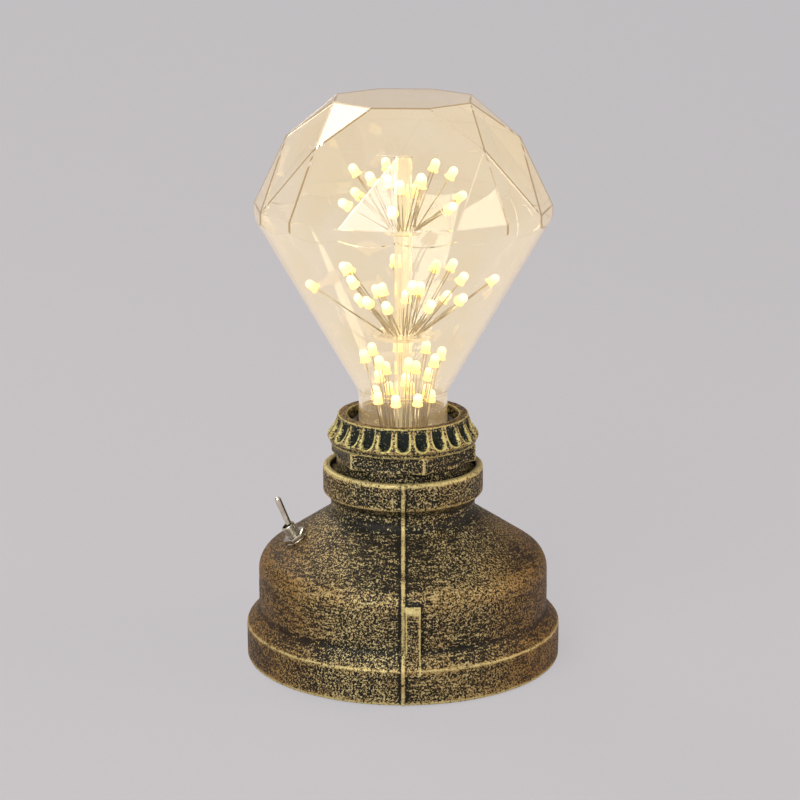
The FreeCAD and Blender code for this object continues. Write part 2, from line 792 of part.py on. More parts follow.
def make_lampholder_base():
    """The insulating base under the cup, with pockets for the two terminals."""
    base = cylinder(S.holder_base_radius, HOLDER_BASE_FOOT, HOLDER_FLANGE_FOOT)
    recess = HOLDER_FLANGE_FOOT - 4.0
    hollows = [terminal_box(S.fit_gap, 1), terminal_box(S.fit_gap, -1),
               terminal_screw_way(1), terminal_screw_way(-1),
               cylinder(S.solder_radius + 1.6, recess, HOLDER_FLANGE_FOOT + 1),
               Part.makeBox(S.terminal_circle, S.leaf_width + 0.4, 5.0,
                            Vector(-S.terminal_circle, -S.leaf_width / 2 - 0.2, recess)),
               cylinder(S.rivet_radius + S.fit_gap, HOLDER_BASE_FOOT, HOLDER_FLANGE_FOOT + 1,
                        Vector(NEUTRAL_RIVET, 0, 0)),
               cylinder(S.rivet_radius + S.fit_gap, HOLDER_BASE_FOOT, recess + 1,
                        Vector(-NEUTRAL_RIVET, 0, 0))]
    for side in (90, 270):
        centre = polar(S.holder_screw_circle, side)
        hollows.append(cylinder(S.holder_screw_radius + S.fit_gap, HOLDER_BASE_FOOT - 1,
                                HOLDER_FLANGE_FOOT + 1, centre))
        hollows.append(cylinder(S.holder_screw_head + S.fit_gap, HOLDER_BASE_FOOT - 1,
                                HOLDER_BASE_FOOT + 2, centre))
    for hollow in hollows:
        base = base.cut(hollow)
    add_shape("lampholder_base", base)


def make_terminals():
    """Brass terminals: the neutral's rivet meets the shell, the live's meets the leaf."""
    top = HOLDER_BASE_FOOT + S.terminal_block_height
    leaf_height = HOLDER_FLANGE_FOOT - 4.0 + TOUCH
    for label, side, rivet_top in (("neutral_terminal", 1, SHELL_FOOT - TOUCH),
                                   ("live_terminal", -1, leaf_height)):
        rivet = cylinder(S.rivet_radius, top - 1, rivet_top, Vector(side * NEUTRAL_RIVET, 0, 0))
        hole = Part.makeCylinder(1.6, 6, Vector(side * (S.terminal_circle + 6), 0, top - 3),
                                 Vector(-side, 0, 0))
        add_shape(label, terminal_box(0.0, side).fuse(rivet).cut(hole))


def make_terminal_screws():
    """Screws that clamp the wires in the terminals, entered from outside."""
    top = HOLDER_BASE_FOOT + S.terminal_block_height
    screws = []
    for side in (1, -1):
        head = Part.makeCylinder(1.5, 5.5, Vector(side * (S.terminal_circle + 5.6), 0, top - 3),
                                 Vector(-side, 0, 0))
        slot = Part.makeBox(0.6, 3.2, 0.5, Vector(side * (S.terminal_circle + 5.3) - 0.3, -1.6, top - 3.25))
        screws.append(head.cut(slot))
    add_shape("terminal_screws", Part.makeCompound(screws))


def make_holder_screws():
    """The two long screws that hold the lampholder's base to its cup."""
    screws = []
    for side in (90, 270):
        centre = polar(S.holder_screw_circle, side)
        shank = cylinder(S.holder_screw_radius, HOLDER_BASE_FOOT + 1, HOLDER_FLANGE_FOOT + 4.6, centre)
        head = cylinder(S.holder_screw_head, HOLDER_BASE_FOOT + 0.2, HOLDER_BASE_FOOT + 2 - TOUCH, centre)
        screws.append(shank.fuse(head))
    add_shape("holder_screws", Part.makeCompound(screws))


def make_centre_leaf():
    """The sprung strip that presses on the bulb's centre contact."""
    low = HOLDER_FLANGE_FOOT - 4.0 + 2 * TOUCH
    high = CONTACT - TOUCH - S.leaf_thickness
    thick = S.leaf_thickness
    under = [(-12.8, low), (-4.4, low), (-1.6, high), (1.6, high), (4.4, low + 1.2)]
    over = [(4.8, low + 1.2 + thick), (1.8, high + thick), (-1.8, high + thick),
            (-4.6, low + thick), (-12.8, low + thick)]
    half = S.leaf_width / 2
    corners = [Vector(across, -half, height) for across, height in under + over]
    face = Part.Face(Part.makePolygon(corners + corners[:1]))
    add_shape("centre_leaf", face.extrude(Vector(0, S.leaf_width, 0)))


def make_screw_shell():
    """The lampholder's threaded shell, with a flat rim turned in at its foot."""
    inner = S.cap_core + S.thread_play
    outer = inner + S.shell_wall
    start = SHELL_FOOT + 0.3
    sleeve = screw_post(outer, start, THREAD_TOP).cut(screw_post(inner, start - 1, THREAD_TOP + 1))
    rim = tube(outer + S.thread_swing + 0.2, S.insulator_radius - 0.3, SHELL_FOOT, SHELL_FOOT + 0.6)
    add_shape("screw_shell", sleeve.fuse(rim))


# Bulb

def make_bulb_cap():
    """The bulb's thin threaded cap and the plain skirt that holds the glass."""
    thread_top = CAP_THREAD_FOOT + S.cap_thread_length
    skirt_foot = CAP_TOP - S.cap_skirt_height
    crest = S.cap_core + S.thread_swing
    thread = screw_post(S.cap_core, CAP_THREAD_FOOT, thread_top)
    hollow = screw_post(S.cap_core - S.cap_wall, CAP_THREAD_FOOT - 1, thread_top + 1)
    wall = S.cap_skirt_radius - S.neck_glass_end - S.fit_gap
    root = S.cap_core - S.thread_swing - S.cap_wall + 0.05
    outline = [(root, thread_top - 0.1), (crest + 0.1, thread_top - 0.1),
               (crest + 0.1, thread_top + 0.4), (S.cap_skirt_radius, skirt_foot),
               (S.cap_skirt_radius, CAP_TOP), (S.cap_skirt_radius - wall, CAP_TOP),
               (S.cap_skirt_radius - wall, skirt_foot + 0.2), (root, thread_top + 0.6)]
    corners = [Vector(radius, 0, height) for radius, height in outline]
    skirt = Part.Face(Part.makePolygon(corners + corners[:1])).revolve(Vector(0, 0, 0), UP, 360)
    add_shape("bulb_cap", thread.cut(hollow).fuse(skirt))


def make_cap_insulator():
    """The black glass between the cap and its centre contact."""
    low = CONTACT + S.solder_height + TOUCH
    fit = S.cap_core - S.cap_wall - S.thread_swing - 0.15
    outline = [(0, low), (S.solder_radius + 1.2, low), (S.insulator_radius, CAP_THREAD_FOOT - 0.6),
               (fit, CAP_THREAD_FOOT), (fit, CAP_THREAD_FOOT + 1.6), (0, CAP_THREAD_FOOT + 1.6)]
    add_shape("cap_insulator", turned(outline, [0.4, 0.3]))


def make_cap_contact():
    """The round solder contact at the bulb's foot."""
    outline = [(0, CONTACT), (S.solder_radius - 1.2, CONTACT), (S.solder_radius, CONTACT + 0.6),
               (S.solder_radius, CONTACT + S.solder_height), (0, CONTACT + S.solder_height)]
    add_shape("cap_contact", turned(outline, [0.5]))


def crown_solid(scale):
    """The faceted crown as a solid, drawn toward the middle of the girdle by a scale."""
    sides = int(S.crown_sides)
    step = 360.0 / sides
    middle = GIRDLE + 2.0

    def place(radius, degrees, height):
        return polar(radius * scale, degrees, middle + (height - middle) * scale)

    table = [place(S.table_radius, S.crown_turn + step * k, TABLE_TOP) for k in range(sides)]
    ring_height = CONTACT + S.crown_ring_height
    ring = [place(S.crown_ring_radius, S.crown_turn + step * (k + 0.5), ring_height)
            for k in range(sides)]
    angles = [S.crown_turn + step * k / 2 for k in range(2 * sides)]
    girdle = [place(S.girdle_radius, angle, middle) for angle in angles]
    foot = [place(S.girdle_radius, angle, middle) - UP * 60.0 for angle in angles]
    faces = [table, foot[::-1]]
    for k in range(sides):
        after = (k + 1) % sides
        faces.append([table[k], table[after], ring[k]])
        faces.append([ring[k - 1], table[k], ring[k]])
        faces.append([girdle[2 * k], ring[k - 1], ring[k]])
        faces.append([girdle[2 * k], ring[k], girdle[2 * k + 1]])
        faces.append([girdle[2 * k + 1], ring[k], girdle[(2 * k + 2) % (2 * sides)]])
    for k in range(2 * sides):
        after = (k + 1) % (2 * sides)
        faces.append([girdle[k], girdle[after], foot[after], foot[k]])
    skins = [Part.Face(Part.makePolygon(corners + corners[:1])) for corners in faces]
    shell = Part.makeShell(skins)
    shell.sewShape()
    solid = Part.makeSolid(shell)
    if solid.Volume < 0:
        solid.reverse()
    return solid


def glass_solid(wall, end):
    """The bulb's outline for a wall taken off, open to the given lower end."""
    cone_shift = wall * 1.15
    profile = [(0, end), (S.neck_glass_end - wall, end), (S.neck_glass_end - wall, CAP_TOP + 0.8),
               (S.neck_glass_radius - wall, CAP_TOP + 6.7 + wall * 0.4),
               (S.neck_glass_radius - wall, CONTACT + S.cone_foot_height + wall * 0.3),
               (S.girdle_radius - cone_shift, GIRDLE - 2.0), (S.girdle_radius - cone_shift, TABLE_TOP + 5.0),
               (0, TABLE_TOP + 5.0)]
    round_solid = turned(profile, [3.0, 5.0, S.neck_glass_round, 2.0])
    scale = 1.0 - wall / (TABLE_TOP - GIRDLE - 2.0)
    lower = cylinder(S.girdle_radius + 5.0, end - 5.0, GIRDLE - 10.0)
    return round_solid.common(crown_solid(scale).fuse(lower))


def make_bulb_glass():
    """The cut-glass envelope: hollow, with its neck held in the cap's skirt."""
    end = CAP_TOP - S.cap_skirt_height + 1.4
    add_shape("bulb_glass", glass_solid(0.0, end).cut(glass_solid(S.glass_wall, end - 1.0)))


def make_driver():
    """The driver board in the cap, with its capacitor and other components."""
    low = CAP_THREAD_FOOT + 4.0
    top = low + S.board_thickness
    board = cylinder(S.board_radius, low, top)
    add_shape("driver_board", board)
    pieces = [cylinder(3.2, top, top + 8.0, Vector(-5.0, 2.0, 0)),
              Part.makeBox(5.0, 4.0, 2.2, Vector(1.5, -6.5, top)),
              Part.makeBox(4.0, 2.6, 1.6, Vector(2.5, 2.5, top)),
              Part.makeCylinder(1.1, 5.0, Vector(-7.0, -4.5, top + 1.1), Vector(1, 0, 0))]
    add_shape("driver_components", Part.makeCompound(pieces))


def make_stem():
    """The clear tube up the middle of the bulb and the discs that carry the lamps."""
    foot = CONTACT + S.low_disc_height - S.disc_thickness - 3.0
    add_shape("stem_tube", tube(S.stem_radius, S.stem_radius - S.stem_wall, foot, foot + S.stem_length))
    for name, radius, height in (("low", S.low_disc_radius, S.low_disc_height),
                                 ("mid", S.mid_disc_radius, S.mid_disc_height),
                                 ("top", S.top_disc_radius, S.top_disc_height)):
        high = CONTACT + height
        add_shape(f"{name}_disc", tube(radius, S.stem_radius + TOUCH, high - S.disc_thickness, high))


def lamp_shape():
    """One small lamp standing on the origin: flange, round body and domed end."""
    dome = S.lamp_length - S.lamp_radius
    body = cylinder(S.lamp_radius, 0, dome)
    end = Part.makeSphere(S.lamp_radius, UP * float(dome))
    return body.fuse(end).fuse(cylinder(S.lamp_flange, 0, 0.9))


# Each ring of lamps on a disc: how many, first bearing, start radius, tilt and reach
FANS = {
    "low": [(8, 8.0, 8.0, 12.9, 41.0), (5, 60.0, 6.2, 9.4, 32.5), (8, 30.5, 9.4, 7.6, 23.0)],
    "mid": [(6, 8.0, 8.6, 55.0, 39.5), (6, 38.0, 6.9, 38.0, 35.0), (6, 8.0, 5.2, 42.0, 22.5),
            (3, 38.0, 4.9, 14.0, 21.0)],
    "top": [(6, 20.0, 6.8, 58.0, 25.0), (6, 50.0, 5.6, 32.0, 31.0), (3, 20.0, 4.9, 10.0, 22.0)],
}


def make_fan(name, height, rings):
    """The lamps of one disc and the pairs of leads that they stand on."""
    base = CONTACT + height + 0.3
    lamp = lamp_shape()
    lamps = []
    leads = []
    for count, first, start_radius, tilt, reach in rings:
        for index in range(count):
            bearing = first + 360.0 * index / count
            lean = Rotation(UP, bearing).multiply(Rotation(Vector(0, 1, 0), tilt))
            place = Placement(polar(start_radius, bearing, base), lean)
            run = reach - S.lamp_length
            for side in (-0.5, 0.5):
                lead = Part.makeCylinder(S.lead_radius, run, Vector(0, side * S.lead_spacing, 0))
                lead.Placement = place
                leads.append(lead)
            placed = lamp.copy()
            placed.Placement = place.multiply(Placement(UP * float(run), Rotation()))
            lamps.append(placed)
    add_shape(f"{name}_leads", Part.makeCompound(leads))
    add_shape(f"{name}_lamps", Part.makeCompound(lamps))


# Toggle switch, in its own frame: the casting's skin at 0, Z outward, X down the slope

def make_switch_bushing():
    """The threaded bushing with the plate that carries the case."""
    plate_foot = -(S.switch_wall + S.bushing_plate)
    barrel = turned([(0, plate_foot), (S.bushing_radius, plate_foot),
                     (S.bushing_radius, S.bushing_height), (S.bushing_bore_radius, S.bushing_height),
                     (0, S.bushing_height)], [0.35])
    plate = Part.makeBox(S.case_length, S.case_width, S.bushing_plate,
                         Vector(-S.case_length / 2, -S.case_width / 2, plate_foot))
    bore = cylinder(S.bushing_bore_radius, plate_foot - 1, S.bushing_height + 1)
    add_shape("switch_bushing", barrel.fuse(plate).cut(bore), switch_place())


def make_switch_nut():
    """The hexagonal nut on the bushing and the washer under it."""
    bore = S.bushing_radius + S.fit_gap
    add_shape("switch_washer", tube(S.washer_radius, bore, 0, S.washer_thickness), switch_place())
    low = S.washer_thickness
    high = low + S.nut_height
    corners = [polar(S.nut_across_corners / 2, 60.0 * side, low) for side in range(7)]
    prism = Part.Face(Part.makePolygon(corners)).extrude(UP * float(S.nut_height))
    edge = S.nut_across_corners / 2 + 0.1
    chamfer = turned([(0, low - 1), (edge, low - 1), (edge, high - 0.4), (edge - 0.7, high),
                      (0, high)], [0.2, 0.2])
    nut = prism.common(chamfer).cut(cylinder(bore, low - 1, high + 1))
    add_shape("switch_nut", nut, switch_place())


def make_switch_lever():
    """The bat lever: ball, tapered arm and the tail that works the rocker."""
    arm = S.bushing_height - S.lever_pivot + S.lever_length - S.lever_tip_radius
    pivot = UP * float(S.lever_pivot)
    shaft = Part.makeCone(S.lever_base_radius, S.lever_tip_radius, arm, pivot)
    tip = Part.makeSphere(S.lever_tip_radius, pivot + UP * float(arm))
    ball = Part.makeSphere(S.lever_ball, pivot)
    tail = Part.makeCylinder(S.lever_tail_radius, S.lever_tail, pivot, -UP)
    end = Part.makeSphere(S.lever_tail_radius, pivot - UP * float(S.lever_tail))
    lever = shaft.fuse(tip).fuse(ball).fuse(tail).fuse(end)
    thrown = Placement(Vector(0, 0, 0), Rotation(Vector(0, 1, 0), -S.lever_throw), pivot)
    add_shape("switch_lever", lever, switch_place().multiply(thrown))


def make_switch_case():
    """The insulating case: an open-topped box with slots for the terminals."""
    top = -(S.switch_wall + S.bushing_plate)
    foot = top - S.case_height
    case = Part.makeBox(S.case_length, S.case_width, S.case_height - TOUCH,
                        Vector(-S.case_length / 2, -S.case_width / 2, foot))
    case = case.cut(Part.makeBox(S.case_length - 2 * S.case_wall, S.case_width - 2 * S.case_wall,
                                 S.case_height, Vector(S.case_wall - S.case_length / 2,
                                                       S.case_wall - S.case_width / 2,
                                                       foot + S.case_wall)))
    for across in (-S.terminal_pitch, 0.0, S.terminal_pitch):
        case = case.cut(terminal_blade(across, foot - 1, foot + S.case_wall + 1, S.fit_gap))
    add_shape("switch_case", case, switch_place())


def terminal_blade(across, low, high, grow=0.0):
    return Part.makeBox(S.terminal_thickness + 2 * grow, S.terminal_width + 2 * grow, high - low,
                        Vector(across - S.terminal_thickness / 2 - grow,
                               -S.terminal_width / 2 - grow, low))


def make_switch_contacts():
    """The three terminals and the rocker that joins the middle one to either side."""
    case_foot = -(S.switch_wall + S.bushing_plate + S.case_height)
    low = case_foot - S.terminal_length
    half = S.rocker_thickness / 2
    drop = S.rocker_length / 2 * trig("sin", S.lever_throw) + half + 0.15
    blades = [terminal_blade(0.0, low, -S.rocker_depth - half - 0.1)]
    for side in (-1.0, 1.0):
        blades.append(terminal_blade(side * S.terminal_pitch, low, -S.rocker_depth - drop))
    add_shape("switch_terminals", Part.makeCompound(blades), switch_place())
    rocker = Part.makeBox(S.rocker_length, S.rocker_width, S.rocker_thickness,
                          Vector(-S.rocker_length / 2, -S.rocker_width / 2, -half))
    thrown = Placement(Vector(0, 0, -S.rocker_depth), Rotation(Vector(0, 1, 0), S.lever_throw))
    add_shape("switch_rocker", rocker, switch_place().multiply(thrown))


# Wiring inside the foot

def make_terminal_block():
    """The block on the bottom plate where a cord is joined to the lamp's own wires."""
    low = S.plate_ledge + TOUCH
    box = Part.makeBox(S.block_length, S.block_width, S.block_height,
                       Vector(-S.block_length / 2, S.block_offset - S.block_width / 2, low))
    contacts = []
    for side in (-1, 1):
        centre = Vector(side * S.block_length / 4, S.block_offset, 0)
        box = box.cut(cylinder(2.2, low + 2, low + S.block_height + 1, centre))
        contacts.append(cylinder(2.1, low + 2 + TOUCH, low + S.block_height - 0.5, centre))
    add_shape("terminal_block", box)
    add_shape("block_contacts", Part.makeCompound(contacts))


def make_wire(label, points, radii):
    """An insulated wire along straight runs and tangent arcs."""
    path = rounded_path(points, radii)
    first = path.Edges[0]
    start = first.valueAt(first.FirstParameter)
    ring = Part.Wire(Part.makeCircle(S.wire_radius, start, first.tangentAt(first.FirstParameter)))
    wire = path.makePipeShell([ring], True, True)
    expected = math.pi * S.wire_radius ** 2 * path.Length
    print(f"{label}: length {path.Length:.1f}, volume {wire.Volume:.1f} of {expected:.1f}")
    add_shape(label, wire)


def make_wires():
    """Block to switch, switch to the live terminal and block to the neutral terminal."""
    place = switch_place()
    low = -(S.switch_wall + S.bushing_plate + S.case_height + S.terminal_length + TOUCH)
    block_top = S.plate_ledge + S.block_height - 0.4
    live = Vector(-S.terminal_circle, 0, HOLDER_BASE_FOOT - TOUCH)
    neutral = Vector(S.terminal_circle, 0, HOLDER_BASE_FOOT - TOUCH)
    left = Vector(-S.block_length / 4, S.block_offset, block_top)
    right = Vector(S.block_length / 4, S.block_offset, block_top)
    make_wire("live_wire", [place.multVec(Vector(S.terminal_pitch, 0, low)),
                            place.multVec(Vector(S.terminal_pitch, 0, low - 9)),
                            left + Vector(-9, -6, 14), left + UP * 14.0, left], [5.0, 3.0, 4.0])
    make_wire("switched_wire", [place.multVec(Vector(0, 0, low)), place.multVec(Vector(0, 0, low - 7)),
                                live - UP * 14.0, live], [4.0, 5.0])
    make_wire("neutral_wire", [right, right + UP * 14.0, neutral - UP * 14.0, neutral], [5.0, 5.0])


def main():
    make_base_casting()
    make_bottom_plate()
    make_plate_screws()
    make_rubber_feet()
    make_cord_grommet()
    make_hex_bushing()
    make_fluted_ring()
    make_lampholder_body()
    make_lampholder_base()
    make_terminals()
    make_terminal_screws()
    make_holder_screws()
    make_centre_leaf()
    make_screw_shell()
    make_bulb_cap()
    make_cap_insulator()
    make_cap_contact()
    make_bulb_glass()
    make_driver()
    make_stem()
    for name, height in (("low", S.low_disc_height), ("mid", S.mid_disc_height),
                         ("top", S.top_disc_height)):
        make_fan(name, height, FANS[name])
    make_switch_bushing()
    make_switch_nut()
    make_switch_lever()
    make_switch_case()
    make_switch_contacts()
    make_terminal_block()
    make_wires()
    write_parts()


def write_parts():
    """Check every object and every sub-part, then write one STEP file for each."""
    DOC.recompute()
    for item in DOC.Objects:
        if "Invalid" in item.State or "Error" in item.State:
            raise RuntimeError(f"{item.Label} failed: {item.State}")
    os.makedirs("parts", exist_ok=True)
    for sub_part in PARTS:
        shape = sub_part.Shape
        if shape.isNull() or not shape.isValid():
            raise RuntimeError(f"{sub_part.Label} has no valid shape")
        shape.exportStep(f"parts/{sub_part.Label}.step")
        print(f"{sub_part.Label}: {len(shape.Solids)} solid(s), {shape.Volume:.0f} mm3")


main()
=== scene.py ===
"""Industrial pipe table lamp with a diamond-cut LED bulb, dressed in its real finishes.

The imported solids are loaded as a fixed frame. Every coordinate is in that frame, in metres: +Z is
up, the origin is on the table under the lamp's axis, the viewer stands on the -Y side and the
toggle switch is on the -X side.
"""

from __future__ import annotations

import json
import logging
import math
from abc import ABC, abstractmethod
from collections.abc import Callable, Sequence
from dataclasses import dataclass
from enum import Enum

import bmesh
import bpy
import numpy as np
from mathutils import Matrix, Vector, noise

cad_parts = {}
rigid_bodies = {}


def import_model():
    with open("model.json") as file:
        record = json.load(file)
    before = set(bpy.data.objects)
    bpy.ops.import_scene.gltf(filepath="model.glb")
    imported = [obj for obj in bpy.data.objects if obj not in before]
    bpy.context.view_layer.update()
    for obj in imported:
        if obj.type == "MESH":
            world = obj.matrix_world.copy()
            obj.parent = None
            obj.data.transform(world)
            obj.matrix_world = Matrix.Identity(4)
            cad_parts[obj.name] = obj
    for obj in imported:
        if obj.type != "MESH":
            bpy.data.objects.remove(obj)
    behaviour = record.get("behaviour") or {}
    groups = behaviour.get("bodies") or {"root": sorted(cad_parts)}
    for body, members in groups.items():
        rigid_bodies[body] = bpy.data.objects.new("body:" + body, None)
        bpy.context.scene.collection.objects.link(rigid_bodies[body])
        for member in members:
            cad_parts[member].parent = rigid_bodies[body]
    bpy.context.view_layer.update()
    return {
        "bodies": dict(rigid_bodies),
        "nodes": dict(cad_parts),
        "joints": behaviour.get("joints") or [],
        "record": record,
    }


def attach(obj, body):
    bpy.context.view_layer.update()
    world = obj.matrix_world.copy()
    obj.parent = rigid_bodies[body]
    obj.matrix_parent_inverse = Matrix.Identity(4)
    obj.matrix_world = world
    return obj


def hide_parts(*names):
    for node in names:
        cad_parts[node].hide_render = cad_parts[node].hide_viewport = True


LOG = logging.getLogger("pipe_lamp")
MM = 0.001
SAND_WAVE_MM = 13.0
SAND_GRAIN_MM = 3.2

Socket = bpy.types.NodeSocket
Colour = tuple[float, float, float, float]
Point2 = tuple[float, float]


# Colours and shader nodes


def linear(code: str, alpha: float = 1.0) -> Colour:
    """Turn an sRGB hex value into a linear colour.

    Args:
        code: Colour as "#rrggbb".
        alpha: Fourth channel.

    Returns:
        Linear red, green, blue and alpha.
    """
    channels = []
    for start in (1, 3, 5):
        value = int(code[start : start + 2], 16) / 255
        channels.append(value / 12.92 if value <= 0.04045 else ((value + 0.055) / 1.055) ** 2.4)
    return (channels[0], channels[1], channels[2], alpha)


def add_node(
    tree: bpy.types.NodeTree,
    kind: str,
    inputs: dict[str | int, object] | None = None,
    **settings: object,
) -> bpy.types.Node:
    """Add a node with its settings, and link or set its inputs.

    Args:
        tree: Node tree that gets the node.
        kind: Node type.
        inputs: Input name or index to a value, or to a socket that feeds it.
        **settings: Properties of the node.

    Returns:
        The new node.
    """
    node = tree.nodes.new(kind)
    for name, value in settings.items():
        setattr(node, name, value)
    for key, value in (inputs or {}).items():
        if isinstance(value, bpy.types.NodeSocket):
            tree.links.new(value, node.inputs[key])
        else:
            node.inputs[key].default_value = value
    return node


def calc(tree: bpy.types.NodeTree, operation: str, *values: object) -> Socket:
    """Join values with one arithmetic operation.

    Args:
        tree: Node tree that gets the node.
        operation: Operation of the Math node.
        *values: Numbers or sockets.

    Returns:
        The result's socket.
    """
    node = add_node(tree, "ShaderNodeMath", dict(enumerate(values)), operation=operation)
    return node.outputs[0]


def ramp(tree: bpy.types.NodeTree, value: Socket, low: object, high: object) -> Socket:
    """Step smoothly from 0 to 1 as a value goes from low to high."""
    wanted = {"Value": value, "From Min": low, "From Max": high}
    node = add_node(tree, "ShaderNodeMapRange", wanted, interpolation_type="SMOOTHSTEP")
    return node.outputs["Result"]


def blend_colours(
    tree: bpy.types.NodeTree, share: object, first: object, second: object
) -> Socket:
    """Mix two colours by a share between 0 and 1."""
    wanted = {0: share, 6: first, 7: second}
    return add_node(tree, "ShaderNodeMix", wanted, data_type="RGBA").outputs[2]


def grain(
    tree: bpy.types.NodeTree,
    size_mm: float,
    detail: float = 2.0,
    stretch: tuple[float, float, float] = (1.0, 1.0, 1.0),
    distortion: float = 0.0,
) -> Socket:
    """Noise on the object's own coordinates, scaled from a real size.

    Args:
        tree: Node tree that gets the nodes.
        size_mm: Size of one grain in millimetres.
        detail: Octaves of finer noise.
        stretch: Scale of each axis, under 1 where the grain is drawn out.
        distortion: How far the pattern is pulled about.

    Returns:
        The noise's value socket.
    """
    place = add_node(tree, "ShaderNodeTexCoord").outputs["Object"]
    mapped = add_node(tree, "ShaderNodeMapping", {"Vector": place, "Scale": stretch})
    wanted = {
        "Vector": mapped.outputs[0],
        "Scale": 1 / (size_mm * MM),
        "Detail": detail,
        "Distortion": distortion,
    }
    return add_node(tree, "ShaderNodeTexNoise", wanted).outputs[0]


def raised(
    tree: bpy.types.NodeTree, height: Socket, depth_mm: float, strength: float = 1.0
) -> Socket:
    """Bump normals from a height between 0 and 1."""
    wanted = {"Height": height, "Distance": depth_mm * MM, "Strength": strength}
    return add_node(tree, "ShaderNodeBump", wanted).outputs[0]


# Finishes


@dataclass(frozen=True)
class Finish(ABC):
    """A named surface finish that makes one material.

    Attributes:
        name: Material's name, in a maker's words.
    """

    name: str

    def material(self) -> bpy.types.Material:
        """Return the finish's material, made at its first use."""
        known = bpy.data.materials.get(self.name)
        if known is not None:
            return known
        material = bpy.data.materials.new(self.name)
        material.use_nodes = True
        tree = material.node_tree
        tree.nodes.clear()
        add_node(tree, "ShaderNodeOutputMaterial", {"Surface": self.shade(tree)})
        return material

    @abstractmethod
    def shade(self, tree: bpy.types.NodeTree) -> Socket:
        """Build the finish's shader and return its output."""


@dataclass(frozen=True)
class AntiqueBronze(Finish):
    """Black-green paint on cast iron, dry-brushed with gold over a sandy casting skin.

    The brush leaves gold only on the grains that stand up, so it reads as a wormy speckle. Edges
    are rubbed bright and hollows stay dark. Towards the sides paint and gold turn brown as painted
    warm side light.

    Attributes:
        cover: Share of the surface that takes gold.
        speckle_mm: Size of one grain.
        streak: How far the brush's level streaks show over the speckle.
        brown_above: Height in metres above which the paint is brown.
        painted_warm_side_span: Distances in metres from the middle plane where painted side light
            starts and is full.
        patch_mm: Size of the patches in which gold and brown come and go.
        lump_mm: Size of the casting's soft lumps.
        relief_mm: Depth of grains and lumps together.
        paint: Paint at the front and back.
        brown_paint_and_side_light: Brown paint in patches and above brown_above, and painted warm
            side light at the sides.
        gold: Gold at the front and back.
        brown_gold_and_side_light: Gold where it is thin, in patches and above brown_above, and
            painted warm side light at the sides.
        edge_gold: Gold on the rubbed edges.
    """

    cover: float = 0.42
    speckle_mm: float = 0.74
    streak: float = 0.35
    brown_above: float = 1.0
    painted_warm_side_span: tuple[float, float] = (0.022, 0.060)
    patch_mm: float = 22.0
    lump_mm: float = 6.0
    relief_mm: float = 0.35
    paint: str = "#0f0d07"
    brown_paint_and_side_light: str = "#241506"
    gold: str = "#b6ac80"
    brown_gold_and_side_light: str = "#8a6a38"
    edge_gold: str = "#c6b981"

    def shade(self, tree: bpy.types.NodeTree) -> Socket:
        """Build the speckled paint and return its output."""
        rub = add_node(tree, "ShaderNodeAttribute", attribute_name="rub").outputs["Fac"]
        dark_paint_and_shade = add_node(tree, "ShaderNodeAttribute", attribute_name="dark_paint_and_shade").outputs["Fac"]
        place = add_node(tree, "ShaderNodeTexCoord").outputs["Object"]
        across, _, height = add_node(tree, "ShaderNodeSeparateXYZ", {0: place}).outputs
        patches = grain(tree, self.patch_mm, 2)
        # Painted warm side light: paint and gold turn brown away from the middle plane, mixed with
        # random brown patches.
        side = ramp(tree, calc(tree, "ABSOLUTE", across), *self.painted_warm_side_span)
        side = calc(tree, "MULTIPLY_ADD", patches, 0.5, calc(tree, "SUBTRACT", side, 0.25))
        above = ramp(tree, height, self.brown_above, self.brown_above + 0.6 * MM)
        side = calc(tree, "MAXIMUM", side, above)
        side = add_node(tree, "ShaderNodeClamp", {0: side}).outputs[0]

        sand = grain(tree, self.speckle_mm, 2.0, distortion=0.7)
        brushed = grain(tree, self.speckle_mm, 2.0, stretch=(0.16, 0.16, 1.0))
        streaky = calc(tree, "MULTIPLY", ramp(tree, grain(tree, 30, 1), 0.42, 0.62), self.streak)
        pattern = add_node(
            tree, "ShaderNodeMix", {0: streaky, 2: sand, 3: brushed}, data_type="FLOAT"
        ).outputs[0]
        lift = calc(tree, "MULTIPLY_ADD", rub, 0.16, (self.cover - 0.5) * 0.4)
        # Less gold where hollows keep dark paint, and in the painted shadows beside ridges.
        lift = calc(tree, "MULTIPLY_ADD", dark_paint_and_shade, -0.10, lift)
        lift = calc(tree, "MULTIPLY_ADD", calc(tree, "SUBTRACT", patches, 0.5), 0.14, lift)
        flecks = ramp(tree, calc(tree, "ADD", pattern, lift), 0.475, 0.58)

        paint = blend_colours(tree, side, linear(self.paint), linear(self.brown_paint_and_side_light))
        gold = blend_colours(tree, side, linear(self.gold), linear(self.brown_gold_and_side_light))
        worn = blend_colours(tree, ramp(tree, pattern, 0.45, 0.7), linear(self.brown_gold_and_side_light), gold)
        colour = blend_colours(tree, flecks, paint, worn)
        bare = calc(tree, "MULTIPLY", ramp(tree, rub, 0.45, 1.0), ramp(tree, pattern, 0.34, 0.50))
        bare = calc(tree, "MULTIPLY", bare, 0.8)
        colour = blend_colours(tree, bare, colour, linear(self.edge_gold))
        flecks = calc(tree, "MAXIMUM", flecks, bare)
        relief = calc(tree, "MULTIPLY_ADD", grain(tree, self.lump_mm, 2), 1.2, pattern)
        wanted = {
            "Base Color": colour,
            "Metallic": calc(tree, "MULTIPLY", flecks, 0.35),
            "Roughness": calc(tree, "MULTIPLY_ADD", flecks, -0.08, 0.55),
            "Specular IOR Level": 0.2,
            "Normal": raised(tree, relief, self.relief_mm, 0.8),
        }
        return add_node(tree, "ShaderNodeBsdfPrincipled", wanted).outputs[0]


class Brushing(Enum):
    """How a plated or bare metal surface was finished."""

    NONE = (1.0, 1.0, 1.0)
    ALONG_Z = (1.0, 1.0, 0.04)
    ACROSS_Z = (0.04, 0.04, 1.0)


